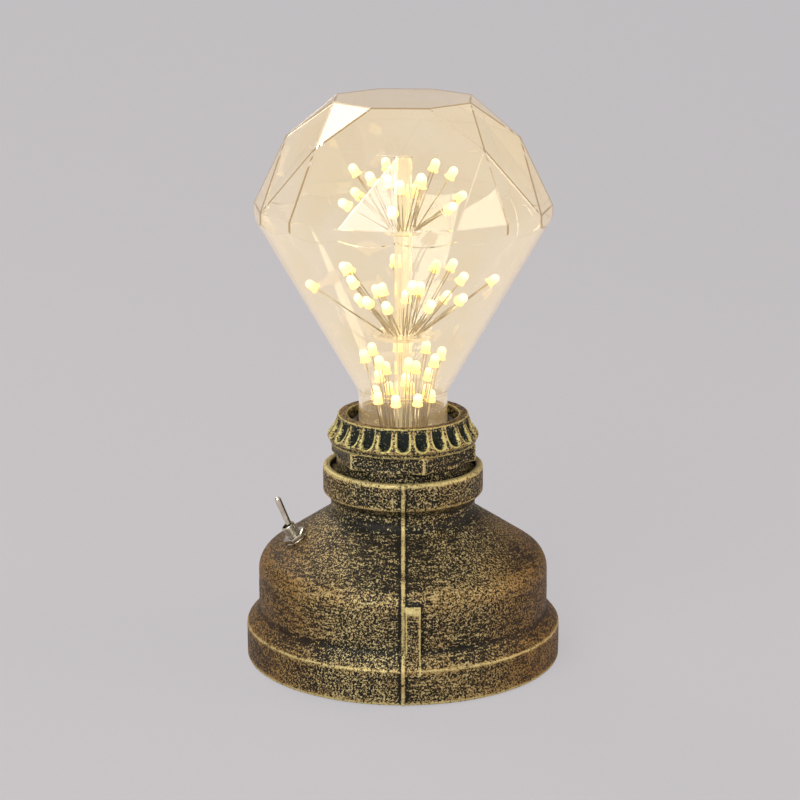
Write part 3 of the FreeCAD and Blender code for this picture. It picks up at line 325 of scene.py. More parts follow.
@dataclass(frozen=True)
class Metal(Finish):
    """Plated or bare metal, with faint tool marks and a cloudy tarnish.

    Attributes:
        colour: Clean metal.
        tarnish: Colour of the clouds.
        roughness: Mean roughness.
        brushing: Direction of the tool marks.
        marks_mm: Width of one tool mark.
    """

    colour: str = "#c8c5bd"
    tarnish: str = "#9a958a"
    roughness: float = 0.25
    brushing: Brushing = Brushing.NONE
    marks_mm: float = 0.3

    def shade(self, tree: bpy.types.NodeTree) -> Socket:
        """Build the metal and return its output."""
        clouds = ramp(tree, grain(tree, 7, 3), 0.4, 0.75)
        marks = grain(tree, self.marks_mm, 2, self.brushing.value)
        rough = calc(tree, "MULTIPLY_ADD", marks, 0.16, self.roughness - 0.08)
        wanted = {
            "Base Color": blend_colours(tree, clouds, linear(self.colour), linear(self.tarnish)),
            "Metallic": 1.0,
            "Roughness": calc(tree, "MULTIPLY_ADD", clouds, 0.10, rough),
            "Normal": raised(tree, marks, 0.01, 0.5),
        }
        return add_node(tree, "ShaderNodeBsdfPrincipled", wanted).outputs[0]


@dataclass(frozen=True)
class Moulded(Finish):
    """Moulded plastic or rubber, with a fine mould grain and handling marks.

    Attributes:
        colour: Fresh surface.
        worn: Colour of the marks.
        roughness: Mean roughness.
        grain_mm: Size of the mould's grain.
        relief_mm: Depth of the mould's grain.
        ior: Index of refraction.
    """

    colour: str = "#1a1815"
    worn: str = "#26231f"
    roughness: float = 0.45
    grain_mm: float = 0.5
    relief_mm: float = 0.03
    ior: float = 1.5

    def shade(self, tree: bpy.types.NodeTree) -> Socket:
        """Build the moulded surface and return its output."""
        marks = ramp(tree, grain(tree, 9, 3), 0.45, 0.75)
        mould = grain(tree, self.grain_mm, 2)
        wanted = {
            "Base Color": blend_colours(tree, marks, linear(self.colour), linear(self.worn)),
            "Roughness": calc(tree, "MULTIPLY_ADD", marks, 0.12, self.roughness - 0.05),
            "IOR": self.ior,
            "Normal": raised(tree, mould, self.relief_mm, 0.6),
        }
        return add_node(tree, "ShaderNodeBsdfPrincipled", wanted).outputs[0]


@dataclass(frozen=True)
class Glass(Finish):
    """Blown or drawn soda-lime glass, tinted in the melt, with the lamps' light in it painted on as
    a glow.

    Attributes:
        colour: Tint that one surface gives.
        deep: Tint in the thicker streaks.
        glow: Colour of the painted glow that stands for the lamplight in the glass.
        glow_strength: How bright that painted glow is.
        ripple_mm: Height of the blow-moulding waves.
    """

    colour: str = "#fdfbf2"
    deep: str = "#fbf6e4"
    glow: str = "#ffdba8"
    glow_strength: float = 0.072
    ripple_mm: float = 0.05

    def shade(self, tree: bpy.types.NodeTree) -> Socket:
        """Build the glass and return its output."""
        streaks = ramp(tree, grain(tree, 40, 2), 0.35, 0.7)
        wanted = {
            "Base Color": blend_colours(tree, streaks, linear(self.colour), linear(self.deep)),
            "Roughness": 0.0,
            "IOR": 1.46,
            "Transmission Weight": 1.0,
            # Painted glow: emission stands for the lamps' light scattered in the glass.
            "Emission Color": linear(self.glow),
            "Emission Strength": self.glow_strength,
            "Normal": raised(tree, grain(tree, 18, 1), self.ripple_mm, 0.4),
        }
        return add_node(tree, "ShaderNodeBsdfPrincipled", wanted).outputs[0]


@dataclass(frozen=True)
class LampLens(Finish):
    """Warm-white resin lens of a small lamp, lit: nearly white at its tip, yellow at its foot.

    Attributes:
        core: Colour of the light at the tip.
        edge: Colour of the light at the foot.
        strength: How bright the light is.
    """

    core: str = "#fff4d2"
    edge: str = "#ffd070"
    strength: float = 1.15

    def shade(self, tree: bpy.types.NodeTree) -> Socket:
        """Build the lit lens and return its output."""
        along = add_node(tree, "ShaderNodeAttribute", attribute_name="along").outputs["Fac"]
        lit = ramp(tree, calc(tree, "MULTIPLY_ADD", grain(tree, 2, 1), 0.2, along), 0.35, 1.0)
        wanted = {
            "Base Color": linear("#fff0cc"),
            "Roughness": 0.12,
            "Emission Color": blend_colours(tree, lit, linear(self.edge), linear(self.core)),
            "Emission Strength": self.strength,
        }
        return add_node(tree, "ShaderNodeBsdfPrincipled", wanted).outputs[0]


CASTING_BRONZE = AntiqueBronze("antique bronze on sand-cast iron")
BUSHING_BRONZE = AntiqueBronze(
    "antique bronze on the hex bushing", cover=0.36, streak=0.15, speckle_mm=0.7
)
RING_BRONZE = AntiqueBronze(
    "antique bronze on the fluted ring",
    cover=0.50,
    streak=0.1,
    speckle_mm=0.8,
    brown_above=0.1072,
    paint="#131a17",
    edge_gold="#c3c07c",
)
NICKEL = Metal("bright nickel plate", "#d6d2c8", "#b0aa9c", 0.16)
TURNED_NICKEL = Metal(
    "turned and nickel-plated brass", "#cdc8bb", "#a49c8b", 0.22, Brushing.ACROSS_Z, 0.15
)
ZINC = Metal("zinc-plated steel sheet", "#b4b7ba", "#94989c", 0.38, Brushing.ALONG_Z, 0.4)
SCREW_ZINC = Metal("zinc-plated screw steel", "#bcbdbb", "#8d8e8c", 0.30)
BRASS = Metal("stamped brass", "#c9a45a", "#9c7b3e", 0.30)
SHELL_PLATE = Metal(
    "nickel-plated brass shell", "#c3bba7", "#9b917c", 0.28, Brushing.ACROSS_Z, 0.25
)
CAP_METAL = Metal("drawn aluminium cap", "#cfccc4", "#aba79d", 0.27, Brushing.ACROSS_Z, 0.3)
SOLDER = Metal("tin solder", "#b9b8b4", "#8f8e89", 0.35)
LEAD_WIRE = Metal("tinned lead wire", "#c6bda6", "#948a74", 0.30)
PHENOLIC = Moulded("brown-black phenolic moulding", "#1d1510", "#2f2219", 0.34, 0.6, 0.03, 1.6)
SWITCH_CASE = Moulded("dark red phenolic switch case", "#3a1710", "#4c2418", 0.38, 0.4, 0.02, 1.6)
RUBBER = Moulded("black moulded rubber", "#141414", "#232221", 0.72, 0.35, 0.05, 1.52)
INSULATOR = Moulded("black vitreous insulator", "#0d0d10", "#19181b", 0.12, 1.2, 0.02, 1.55)
NYLON = Moulded("natural nylon", "#dedbd0", "#cbc6b6", 0.42, 0.7, 0.03, 1.53)
BOARD = Moulded("green solder-masked board", "#1c5a35", "#174a2c", 0.35, 0.8, 0.02, 1.55)
COMPONENTS = Moulded("moulded electronic components", "#1c1c1f", "#2b2b2f", 0.4, 0.4, 0.02, 1.55)
BROWN_WIRE = Moulded("brown insulated wire", "#4b2a16", "#5a3620", 0.45, 0.6, 0.02, 1.54)
BLACK_WIRE = Moulded("black insulated wire", "#17171a", "#24242a", 0.45, 0.6, 0.02, 1.54)
BLUE_WIRE = Moulded("blue insulated wire", "#1d3f86", "#25509b", 0.45, 0.6, 0.02, 1.54)
AMBER_GLASS = Glass("pale amber blown glass")
STEM_GLASS = Glass("clear drawn glass tube", "#fffdf6", "#fff9ea", "#fff0c8", 0.06, 0.02)
DISC_GLASS = Glass("clear pressed glass disc", "#fffaf0", "#fff2dc", "#fff0c8", 0.04, 0.03)
LENS = LampLens("lit warm-white lamp lens")


# Meshes


def add_object(name: str, mesh: bpy.types.Mesh) -> bpy.types.Object:
    """Put a mesh in the scene as an object at the origin."""
    item = bpy.data.objects.new(name, mesh)
    bpy.context.scene.collection.objects.link(item)
    return item


def mesh_object(name: str, shape: bmesh.types.BMesh) -> bpy.types.Object:
    """Turn an edit mesh into an object in the scene, and free it."""
    mesh = bpy.data.meshes.new(name)
    shape.to_mesh(mesh)
    shape.free()
    return add_object(name, mesh)


class Operation(Enum):
    """What a closed mesh does to another."""

    CUT = "DIFFERENCE"
    JOIN = "UNION"
    COMMON = "INTERSECT"


def settle(item: bpy.types.Object) -> bpy.types.Object:
    """Swap an object's mesh for its evaluated one, and take its modifiers off."""
    graph = bpy.context.evaluated_depsgraph_get()
    graph.update()
    mesh = bpy.data.meshes.new_from_object(item.evaluated_get(graph))
    item.modifiers.clear()
    item.data = mesh
    return item


def smooth_below(item: bpy.types.Object, degrees: float) -> None:
    """Shade an object smooth, but keep the edges that turn by more than an angle sharp."""
    shape = bmesh.new()
    shape.from_mesh(item.data)
    limit = math.radians(degrees)
    for face in shape.faces:
        face.smooth = True
    for edge in shape.edges:
        edge.smooth = len(edge.link_faces) == 2 and edge.calc_face_angle(0.0) < limit
    shape.to_mesh(item.data)
    shape.free()


def merged_copy(node: bpy.types.Object, name: str) -> bpy.types.Object:
    """Copy a CAD node as one closed mesh with its doubled points merged."""
    shape = bmesh.new()
    shape.from_mesh(node.data)
    bmesh.ops.remove_doubles(shape, verts=shape.verts, dist=1e-6)
    bmesh.ops.recalc_face_normals(shape, faces=shape.faces)
    return mesh_object(name, shape)


def combine(
    item: bpy.types.Object, operation: Operation, *others: bpy.types.Object
) -> bpy.types.Object:
    """Cut closed meshes out of an object, join them to it or keep what is common, and drop them."""
    for other in others:
        modifier = item.modifiers.new(operation.name, "BOOLEAN")
        modifier.operation = operation.value
        modifier.solver = "EXACT"
        modifier.object = other
    settle(item)
    for other in others:
        bpy.data.objects.remove(other)
    return item


def all_smooth(item: bpy.types.Object) -> None:
    """Shade every face of an object smooth."""
    for polygon in item.data.polygons:
        polygon.use_smooth = True


def numbers(item: bpy.types.Object, name: str) -> list[float]:
    """Read a stored number for each point of a piece."""
    return [point.value for point in item.data.attributes[name].data]


def rounded(corners: Sequence[Point2], radii: Sequence[float], step: float) -> list[Point2]:
    """Round an open outline's inner corners and divide it evenly.

    Args:
        corners: Outline's corners as (radius, height).
        radii: One radius for each inner corner, or 0 for a sharp one.
        step: Longest distance between neighbouring points.

    Returns:
        The divided outline.
    """
    spots = [Vector(corner) for corner in corners]
    path = [spots[0]]
    for index in range(1, len(spots) - 1):
        spot, radius = spots[index], radii[index - 1]
        back = (spots[index - 1] - spot).normalized()
        ahead = (spots[index + 1] - spot).normalized()
        half = back.angle(ahead) / 2
        if radius <= 0:
            path.append(spot)
            continue
        reach = radius / math.tan(half)
        centre = spot + (back + ahead).normalized() * (radius / math.sin(half))
        start, end = spot + back * reach - centre, spot + ahead * reach - centre
        turn = start.angle_signed(end)
        count = max(2, math.ceil(radius * abs(turn) / step))
        for part in range(count + 1):
            path.append(centre + Matrix.Rotation(-turn * part / count, 2) @ start)
    path.append(spots[-1])
    divided = [tuple(path[0])]
    for first, second in zip(path, path[1:]):
        count = max(1, math.ceil((second - first).length / step))
        divided += [tuple(first.lerp(second, part / count)) for part in range(1, count + 1)]
    return divided


def turned(
    name: str,
    outline: Sequence[Point2],
    angles: Sequence[float] | int,
    shift: Callable[[float, float, float], float] | None = None,
    closed: bool = True,
) -> bpy.types.Object:
    """Turn an outline about Z, with a shift of the radius where the piece isn't round.

    Args:
        name: Object's name.
        outline: Points as (radius, height), going up the outside.
        angles: Angles of the columns in radians, or how many to space evenly.
        shift: Gives the new radius from radius, height and angle.
        closed: Whether the outline closes on itself. An open one starts and ends on the axis.

    Returns:
        The closed piece, shaded smooth.
    """
    if isinstance(angles, int):
        angles = [2 * math.pi * index / angles for index in range(angles)]
    shape = bmesh.new()
    columns = []
    for angle in angles:
        ray = Vector((math.cos(angle), math.sin(angle), 0))
        column = []
        for radius, height in outline:
            wide = shift(radius, height, angle) if shift else radius
            column.append(shape.verts.new(ray * wide + Vector((0, 0, height))))
        columns.append(column)
    count = len(outline)
    for index, column in enumerate(columns):
        following = columns[(index + 1) % len(columns)]
        for row in range(count if closed else count - 1):
            above = (row + 1) % count
            shape.faces.new((column[row], following[row], following[above], column[above]))
    bmesh.ops.remove_doubles(shape, verts=shape.verts, dist=1e-7)
    bmesh.ops.recalc_face_normals(shape, faces=shape.faces)
    for face in shape.faces:
        face.smooth = True
    return mesh_object(name, shape)


def place_at(item: bpy.types.Object, place: Matrix) -> bpy.types.Object:
    """Move an object's mesh, and leave its object at the origin."""
    item.data.transform(place)
    return item


def mark_wear(item: bpy.types.Object, steps: int, depth_mm: float) -> None:
    """Store where a piece's edges are rubbed and where its hollows keep dark paint.

    The mesh is smoothed over a few steps, and what it loses on the outside is an edge and what it
    gains is a hollow. The shares go in the point attributes rub and soot.

    Args:
        item: Piece with an even mesh.
        steps: Smoothing steps.
        depth_mm: Loss or gain that counts as full.
    """
    mesh = item.data
    count = len(mesh.vertices)
    spots = np.empty(count * 3)
    mesh.vertices.foreach_get("co", spots)
    spots = spots.reshape(-1, 3)
    normals = np.empty(count * 3)
    mesh.vertices.foreach_get("normal", normals)
    normals = normals.reshape(-1, 3)
    edges = np.empty(len(mesh.edges) * 2, dtype=int)
    mesh.edges.foreach_get("vertices", edges)
    first, second = edges.reshape(-1, 2).T
    valence = np.bincount(edges, minlength=count).clip(1)[:, None]
    calm = spots.copy()
    for _ in range(steps):
        total = np.zeros_like(calm)
        np.add.at(total, first, calm[second])
        np.add.at(total, second, calm[first])
        calm = total / valence
    bulge = ((spots - calm) * normals).sum(axis=1) / (depth_mm * MM)
    for name, values in (("rub", bulge), ("dark_paint_and_shade", -bulge)):
        store(item, name, values.clip(0, 1))


def store(item: bpy.types.Object, name: str, values: Sequence[float]) -> None:
    """Store one number for each point of a piece."""
    layer = item.data.attributes.get(name) or item.data.attributes.new(name, "FLOAT", "POINT")
    layer.data.foreach_set("value", list(values))


def cast_skin(spot: Vector, coarse_mm: float, fine_mm: float) -> float:
    """Height of a sand casting's unevenness at a place, in metres and never above 0."""
    coarse = noise.noise(spot / (SAND_WAVE_MM * MM)) * coarse_mm
    fine = noise.noise(spot / (SAND_GRAIN_MM * MM)) * fine_mm
    return (coarse + fine - coarse_mm - fine_mm) * MM * 0.5


def roughen(item: bpy.types.Object, coarse_mm: float, fine_mm: float) -> None:
    """Press a sand casting's unevenness into a piece, along its normals."""
    mesh = item.data
    count = len(mesh.vertices)
    spots, normals = np.empty(count * 3), np.empty(count * 3)
    mesh.vertices.foreach_get("co", spots)
    mesh.vertices.foreach_get("normal", normals)
    spots, normals = spots.reshape(-1, 3), normals.reshape(-1, 3)
    depths = np.array([cast_skin(Vector(spot), coarse_mm, fine_mm) for spot in spots])
    mesh.vertices.foreach_set("co", (spots + normals * depths[:, None]).ravel())
    mesh.update()


# Sub-assemblies


@dataclass
class Assembly(ABC):
    """A group of pieces that ride on one body.

    Attributes:
    """

    frame: dict

    def node(self, name: str) -> bpy.types.Object:
        """The CAD node of a name."""
        return self.frame["nodes"][name]

    def dress(self, finish: Finish, *names: str) -> None:
        """Give CAD nodes a finish."""
        for name in names:
            item = self.node(name)
            if not item.material_slots:
                item.data.materials.append(None)
            for slot in item.material_slots:
                slot.material = finish.material()

    def eased(
        self,
        node: str,
        name: str,
        width_mm: float,
        segments: int = 3,
        corner: float = 50.0,
        smooth: float = 35.0,
    ) -> bpy.types.Object:
        """Copy a node and ease its sharp edges.

        Args:
            node: CAD node.
            name: Copy's name.
            width_mm: Width of the eased strip.
            segments: Strips across it.
            corner: Least turn in degrees of an edge that is eased.
            smooth: Turn in degrees below which the copy is shaded smooth.

        Returns:
            The eased copy.
        """
        copy = merged_copy(self.node(node), name)
        bevel = copy.modifiers.new("Bevel", "BEVEL")
        bevel.width = width_mm * MM
        bevel.segments = segments
        bevel.angle_limit = math.radians(corner)
        settle(copy)
        smooth_below(copy, smooth)
        return copy

    def fit(
        self, piece: bpy.types.Object, body: str, slot: str, finish: Finish, *nodes: str
    ) -> None:
        """Finish a new piece, and put it on a body in the place of CAD nodes.

        Args:
            piece: New piece.
            body: Body that it rides on.
            slot: Material slot of the record that its finish comes from; not used.
            finish: Its finish.
            *nodes: Nodes that it stands for.
        """
        piece.data.materials.clear()
        piece.data.materials.append(finish.material())
        if nodes:
            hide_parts(*nodes)
        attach(piece, body)
        LOG.info("%s: %d faces", piece.name, len(piece.data.polygons))

    @abstractmethod
    def build(self) -> None:
        """Make and dress the pieces."""


@dataclass
class FootCasting(Assembly):
    """The cast reducer: bead, barrel, cone, neck and collar, with a parting line and lugs."""

    rim: float = 0.8
    bead_radius: float = 67.8
    bead_top: float = 15.8
    bevel_top: float = 22.0
    barrel_radius: float = 62.4
    barrel_top: float = 44.4
    neck_radius: float = 31.1
    cone_top: float = 65.12
    flare_foot: float = 70.82
    collar_radius: float = 34.4
    collar_foot: float = 74.02
    collar_top: float = 85.32
    seam_half: float = 1.0
    seam_height: float = 0.9
    lug_side: tuple[float, float] = (0.8, 7.0)
    lug_plane: float = 65.4
    lug_span: tuple[float, float] = (13.8, 41.1)
    plate_recess: float = 60.5
    plate_ledge: float = 3.3
    hollow_radius: float = 58.4
    hollow_top: float = 42.3
    throat_radius: float = 26.6
    throat_foot: float = 63.3
    thread_bore: float = 28.6
    thread_foot: float = 70.02
    mouth_radius: float = 31.2
    mouth_depth: float = 3.0
    cone_rise: float = 0.6619
    inlet_level: float = 8.4
    inlet_radius: float = 5.5
    inlet_way_radius: float = 4.3
    switch_hole_radius: float = 3.1

    def outline(self) -> list[Point2]:
        """Closed outline of the casting in metres, up the outside and down the inside."""
        outside = [
            (self.plate_recess, self.rim),
            (self.bead_radius, self.rim),
            (self.bead_radius, self.bead_top),
            (self.barrel_radius, self.bevel_top),
            (self.barrel_radius, self.barrel_top),
            (self.neck_radius, self.cone_top),
            (self.neck_radius, self.flare_foot),
            (self.collar_radius, self.collar_foot),
            (self.collar_radius, self.collar_top),
            (self.mouth_radius, self.collar_top),
            (self.mouth_radius, self.collar_top - self.mouth_depth),
        ]
        skin = rounded(outside, (0.8, 1.3, 1.6, 9.5, 5.0, 0.9, 0.8, 1.1, 0.7), 0.72)
        inside = [
            (self.thread_bore, self.collar_top - self.mouth_depth),
            (self.thread_bore, self.thread_foot),
            (self.throat_radius, self.thread_foot),
            (self.throat_radius, self.throat_foot),
            (self.hollow_radius, self.hollow_top),
            (self.hollow_radius, self.plate_ledge),
            (self.plate_recess, self.plate_ledge),
        ]
        hidden = rounded(inside, (0,) * 5, 6.0)
        return [(radius * MM, height * MM) for radius, height in skin + hidden]

    def angles(self) -> list[float]:
        """Angles of the columns, packed closely where the parting line and lugs are."""
        angles: list[float] = []
        for middle in (-90.0, 90.0):
            low, high = middle - 2.4, middle + 7.4
            close = [low + 0.2 * index for index in range(round((high - low) / 0.2) + 1)]
            reach = middle + 180.0 - 2.4 - high
            count = round(reach / 1.15)
            angles += close + [high + reach * index / count for index in range(1, count)]
        return [math.radians(angle) for angle in angles]

    def surface(self, radius: float, height: float, angle: float) -> float:
        """Radius of the casting's skin with its parting line, lugs and unevenness."""
        if radius < 31.5 * MM and height > 75 * MM or self.is_inside(radius, height):
            return radius
        side = radius * math.cos(angle)
        ridge = self.step(self.seam_half * MM - abs(side), 0.45 * MM)
        proud = radius + self.seam_height * MM * ridge
        front = math.sin(angle) < 0
        along = side if front else -side
        low, high = (edge * MM for edge in self.lug_side)
        foot, top = (edge * MM for edge in self.lug_span)
        inside = min(along - low, high - along, top - height)
        if height > foot and inside > -0.6 * MM:
            plane = self.lug_plane * MM / abs(math.sin(angle))
            share = self.step(inside + 0.25 * MM, 0.5 * MM)
            proud = max(proud, radius + (plane - radius) * share)
        spot = Vector((radius * math.cos(angle), radius * math.sin(angle), height))
        return proud + cast_skin(spot, 0.35, 0.16)

    @staticmethod
    def step(value: float, width: float) -> float:
        """Smooth step from 0 to 1 over a width that starts at 0."""
        share = min(max(value / width, 0.0), 1.0)
        return share * share * (3 - 2 * share)

    def is_inside(self, radius: float, height: float) -> bool:
        """Whether a point of the outline is on the hidden inside."""
        cone = self.barrel_top + (self.barrel_radius - radius / MM) * self.cone_rise
        return 26 * MM < radius < 60.6 * MM and height / MM < min(cone - 2.5, 70.5)

    def mark_ridges(self, piece: bpy.types.Object) -> None:
        """Mark the parting line and the lugs' edges as rubbed, with painted shadow beside them."""
        rub = numbers(piece, "rub")
        dark_paint_and_shade = [min(value, 0.55) for value in numbers(piece, "dark_paint_and_shade")]
        low, high = self.lug_side
        foot, top = self.lug_span
        for vertex in piece.data.vertices:
            across, along, level = (part / MM for part in vertex.co)
            if math.hypot(across, along) < self.neck_radius - 0.4:
                continue
            off = abs(across)
            index = vertex.index
            worn = 0.85 + 0.5 * noise.noise(vertex.co / (5 * MM))
            rub[index] = max(rub[index], worn * self.step(self.seam_half + 0.1 - off, 0.6))
            # Painted shadow: a strip on each side of the parting line keeps less gold.
            if off > self.seam_half:
                dark_paint_and_shade[index] = max(dark_paint_and_shade[index], 1.0 - self.step(off - self.seam_half - 0.2, 1.4))
            side = across if along < 0 else -across
            lug = foot < level < top + 0.3 and low < side < high + 0.3
            if abs(along) > self.plate_recess and lug:
                edge = min(high - side, top - level)
                rub[index] = max(rub[index], 1.1 - self.step(edge - 0.2, 0.8))
                dark_paint_and_shade[index] = 0.0
            # Painted shadow: a strip beside each lug's outer edge keeps less gold.
            elif foot < level < top + 2 and high < side < high + 1.6:
                dark_paint_and_shade[index] = max(dark_paint_and_shade[index], 1.0 - self.step(side - high - 0.2, 1.4))
        store(piece, "rub", rub)
        store(piece, "dark_paint_and_shade", dark_paint_and_shade)

    def build(self) -> None:
        """Make the casting with its cord inlet and switch hole, and dress it."""
        piece = turned("foot_casting", self.outline(), self.angles(), self.surface)
        rearward = Matrix.Rotation(-math.pi / 2, 4, "X")
        level = (0, 0, self.inlet_level * MM)
        inlet = post("inlet", self.inlet_radius * MM, 0.0664, 0.075, rearward, level)
        way = post("inlet_way", self.inlet_way_radius * MM, 0.050, 0.075, rearward, level)
        outward, spot = ToggleSwitch.turn(), ToggleSwitch.spot()
        hole = post("switch_hole", self.switch_hole_radius * MM, -0.009, 0.009, outward, spot)
        combine(piece, Operation.CUT, inlet, way, hole)
        mark_wear(piece, 7, 0.30)
        self.mark_ridges(piece)
        all_smooth(piece)
        self.fit(piece, "foot", "antique_casting", CASTING_BRONZE, "base_casting")


def post(
    name: str,
    radius: float,
    low: float,
    high: float,
    turn: Matrix = Matrix.Identity(4),
    spot: Sequence[float] = (0, 0, 0),
    sides: int = 48,
) -> bpy.types.Object:
    """A round post along a turned Z axis, used to cut or fill.

    Args:
        name: Object's name.
        radius: Post's radius.
        low: Height of its foot on its own axis.
        high: Height of its head on its own axis.
        turn: Turn of its axis from upright.
        spot: Where its axis starts.
        sides: Sides of the round.

    Returns:
        The closed post.
    """
    outline = [(0.0, low), (radius, low), (radius, high), (0.0, high)]
    item = turned(name, outline, sides, closed=False)
    return place_at(item, Matrix.Translation(Vector(spot)) @ turn)


@dataclass
class FootFittings(Assembly):
    """What the foot holds: bottom plate, screws, feet, cord bush, terminal block and wires."""

    foot_radius: float = 7.0
    foot_height: float = 1.8
    foot_circle: float = 46.0
    foot_count: int = 4

    def feet(self) -> bpy.types.Object:
        """Four stuck-on rubber feet, repeated round the plate."""
        corners = [
            (0, 0),
            (self.foot_radius - 2.2, 0),
            (self.foot_radius - 1.9, 0.25),
            (self.foot_radius - 1.5, 0),
            (self.foot_radius, 0),
            (self.foot_radius - 0.4, self.foot_height),
            (0, self.foot_height),
        ]
        outline = rounded(corners, (0, 0.1, 0, 0.5, 0.2), 0.4)
        one = turned("one_foot", [(r * MM, z * MM) for r, z in outline], 40, closed=False)
        repeat = RoundRepeat("FeetRoundPlate", "rubber feet")
        circle, first = self.foot_circle * MM, math.pi / 4
        return repeat.make("rubber_feet_moulded", one, self.foot_count, circle, first, RUBBER)

    def build(self) -> None:
        """Make the feet and dress the rest."""
        self.fit(self.feet(), "foot", "black_rubber", RUBBER, "rubber_feet")
        bush = self.eased("cord_grommet", "cord_bush", 0.45)
        self.fit(bush, "foot", "black_rubber", RUBBER, "cord_grommet")
        self.dress(ZINC, "bottom_plate")
        self.dress(SCREW_ZINC, "plate_screws")
        self.dress(NYLON, "terminal_block")
        self.dress(BRASS, "block_contacts")
        self.dress(BROWN_WIRE, "live_wire")
        self.dress(BLACK_WIRE, "switched_wire")
        self.dress(BLUE_WIRE, "neutral_wire")


@dataclass
class RoundRepeat:
    """Geometry Nodes tree that repeats one piece evenly round Z.

    Attributes:
        name: Tree's name.
        what: What it repeats, used as the modifier's name.
    """

    name: str
    what: str

    def tree(self) -> bpy.types.NodeTree:
        """Build the tree with named inputs for its sizes."""
        sizes = {"Count": "Int", "Circle radius": "Float", "First angle": "Float"}
        tree, given = start_layout(self.name, sizes)
        ring = add_node(
            tree,
            "GeometryNodeMeshCircle",
            {"Vertices": given["Count"], "Radius": given["Circle radius"]},
        )
        turn = add_node(tree, "ShaderNodeCombineXYZ", {"Z": given["First angle"]})
        set_off = add_node(
            tree,
            "GeometryNodeTransform",
            {"Geometry": ring.outputs["Mesh"], "Rotation": turn.outputs[0]},
        )
        outward = add_node(tree, "GeometryNodeInputPosition").outputs[0]
        facing = add_node(
            tree, "FunctionNodeAlignEulerToVector", {"Vector": outward}, axis="X", pivot_axis="Z"
        )
        copies = add_node(
            tree,
            "GeometryNodeInstanceOnPoints",
            {
                "Points": set_off.outputs["Geometry"],
                "Instance": given["Geometry"],
                "Rotation": facing.outputs[0],
            },
        )
        return end_layout(tree, copies, given)

    def make(
        self,
        name: str,
        one: bpy.types.Object,
        count: int,
        radius: float,
        first: float,
        finish: Finish,
    ) -> bpy.types.Object:
        """Repeat a piece and return the result as a plain mesh."""
        modifier = one.modifiers.new(self.what, "NODES")
        modifier.node_group = self.tree()
        set_inputs(
            modifier,
            {
                "Count": count,
                "Circle radius": radius,
                "First angle": first,
                "Finish": finish.material(),
            },
        )
        settle(one)
        one.name = name
        return one


def start_layout(
    name: str, sizes: dict[str, str]
) -> tuple[bpy.types.NodeTree, bpy.types.NodeOutputs]:
    """Start a Geometry Nodes tree that lays out copies of a piece.

    Args:
        name: Tree's name.
        sizes: Label of each input of its own to the kind of its socket.

    Returns:
        The tree and its inputs, which start with Geometry and end with Finish.
    """
    tree = bpy.data.node_groups.new(name, "GeometryNodeTree")
    for label, kind in {"Geometry": "Geometry", **sizes, "Finish": "Material"}.items():
        tree.interface.new_socket(label, in_out="INPUT", socket_type="NodeSocket" + kind)
    tree.interface.new_socket("Geometry", in_out="OUTPUT", socket_type="NodeSocketGeometry")
    return tree, add_node(tree, "NodeGroupInput").outputs


def end_layout(
    tree: bpy.types.NodeTree, copies: bpy.types.Node, given: bpy.types.NodeOutputs
) -> bpy.types.NodeTree:
    """Make a tree's copies real, give them its finish and end it."""
    real = add_node(tree, "GeometryNodeRealizeInstances", {0: copies.outputs[0]})
    finish = {"Geometry": real.outputs[0], "Material": given["Finish"]}
    done = add_node(tree, "GeometryNodeSetMaterial", finish)
    add_node(tree, "NodeGroupOutput", {0: done.outputs[0]})
    return tree


def set_inputs(modifier: bpy.types.NodesModifier, values: dict[str, object]) -> None:
    """Set a node modifier's inputs by their sockets' identifiers."""
    for item in modifier.node_group.interface.items_tree:
        if item.in_out == "INPUT" and item.name in values:
            modifier[item.identifier] = values[item.name]


@dataclass
class HexBushing(Assembly):
    """The hexagon screwed into the collar, with edges rounded by the sand mould."""

    voxel: float = 0.45
    corner_radius: float = 31.9
    first_corner: float = 46.3

    def mark_corners(self, piece: bpy.types.Object) -> None:
        """Mark the six upright corners as rubbed."""
        rub = numbers(piece, "rub")
        for vertex in piece.data.vertices:
            angle = math.degrees(math.atan2(vertex.co.y, vertex.co.x)) - self.first_corner
            off = abs((angle + 30) % 60 - 30)
            radius = math.hypot(vertex.co.x, vertex.co.y) / MM
            if radius > self.corner_radius - 2.5:
                near = math.radians(off) * self.corner_radius
                rub[vertex.index] = max(rub[vertex.index], 1.0 - FootCasting.step(near - 0.35, 0.7))
        store(piece, "rub", rub)

    def build(self) -> None:
        """Recast the CAD bushing with soft edges, and dress it."""
        piece = merged_copy(self.node("hex_bushing"), "hexagon_bushing")
        remesh = piece.modifiers.new("Remesh", "REMESH")
        remesh.mode = "VOXEL"
        remesh.voxel_size = self.voxel * MM
        soften = piece.modifiers.new("Soften", "SMOOTH")
        soften.factor = 0.5
        soften.iterations = 2
        settle(piece)
        roughen(piece, 0.10, 0.10)
        mark_wear(piece, 7, 0.26)
        self.mark_corners(piece)
        all_smooth(piece)
        self.fit(piece, "foot", "antique_bushing", BUSHING_BRONZE, "hex_bushing")


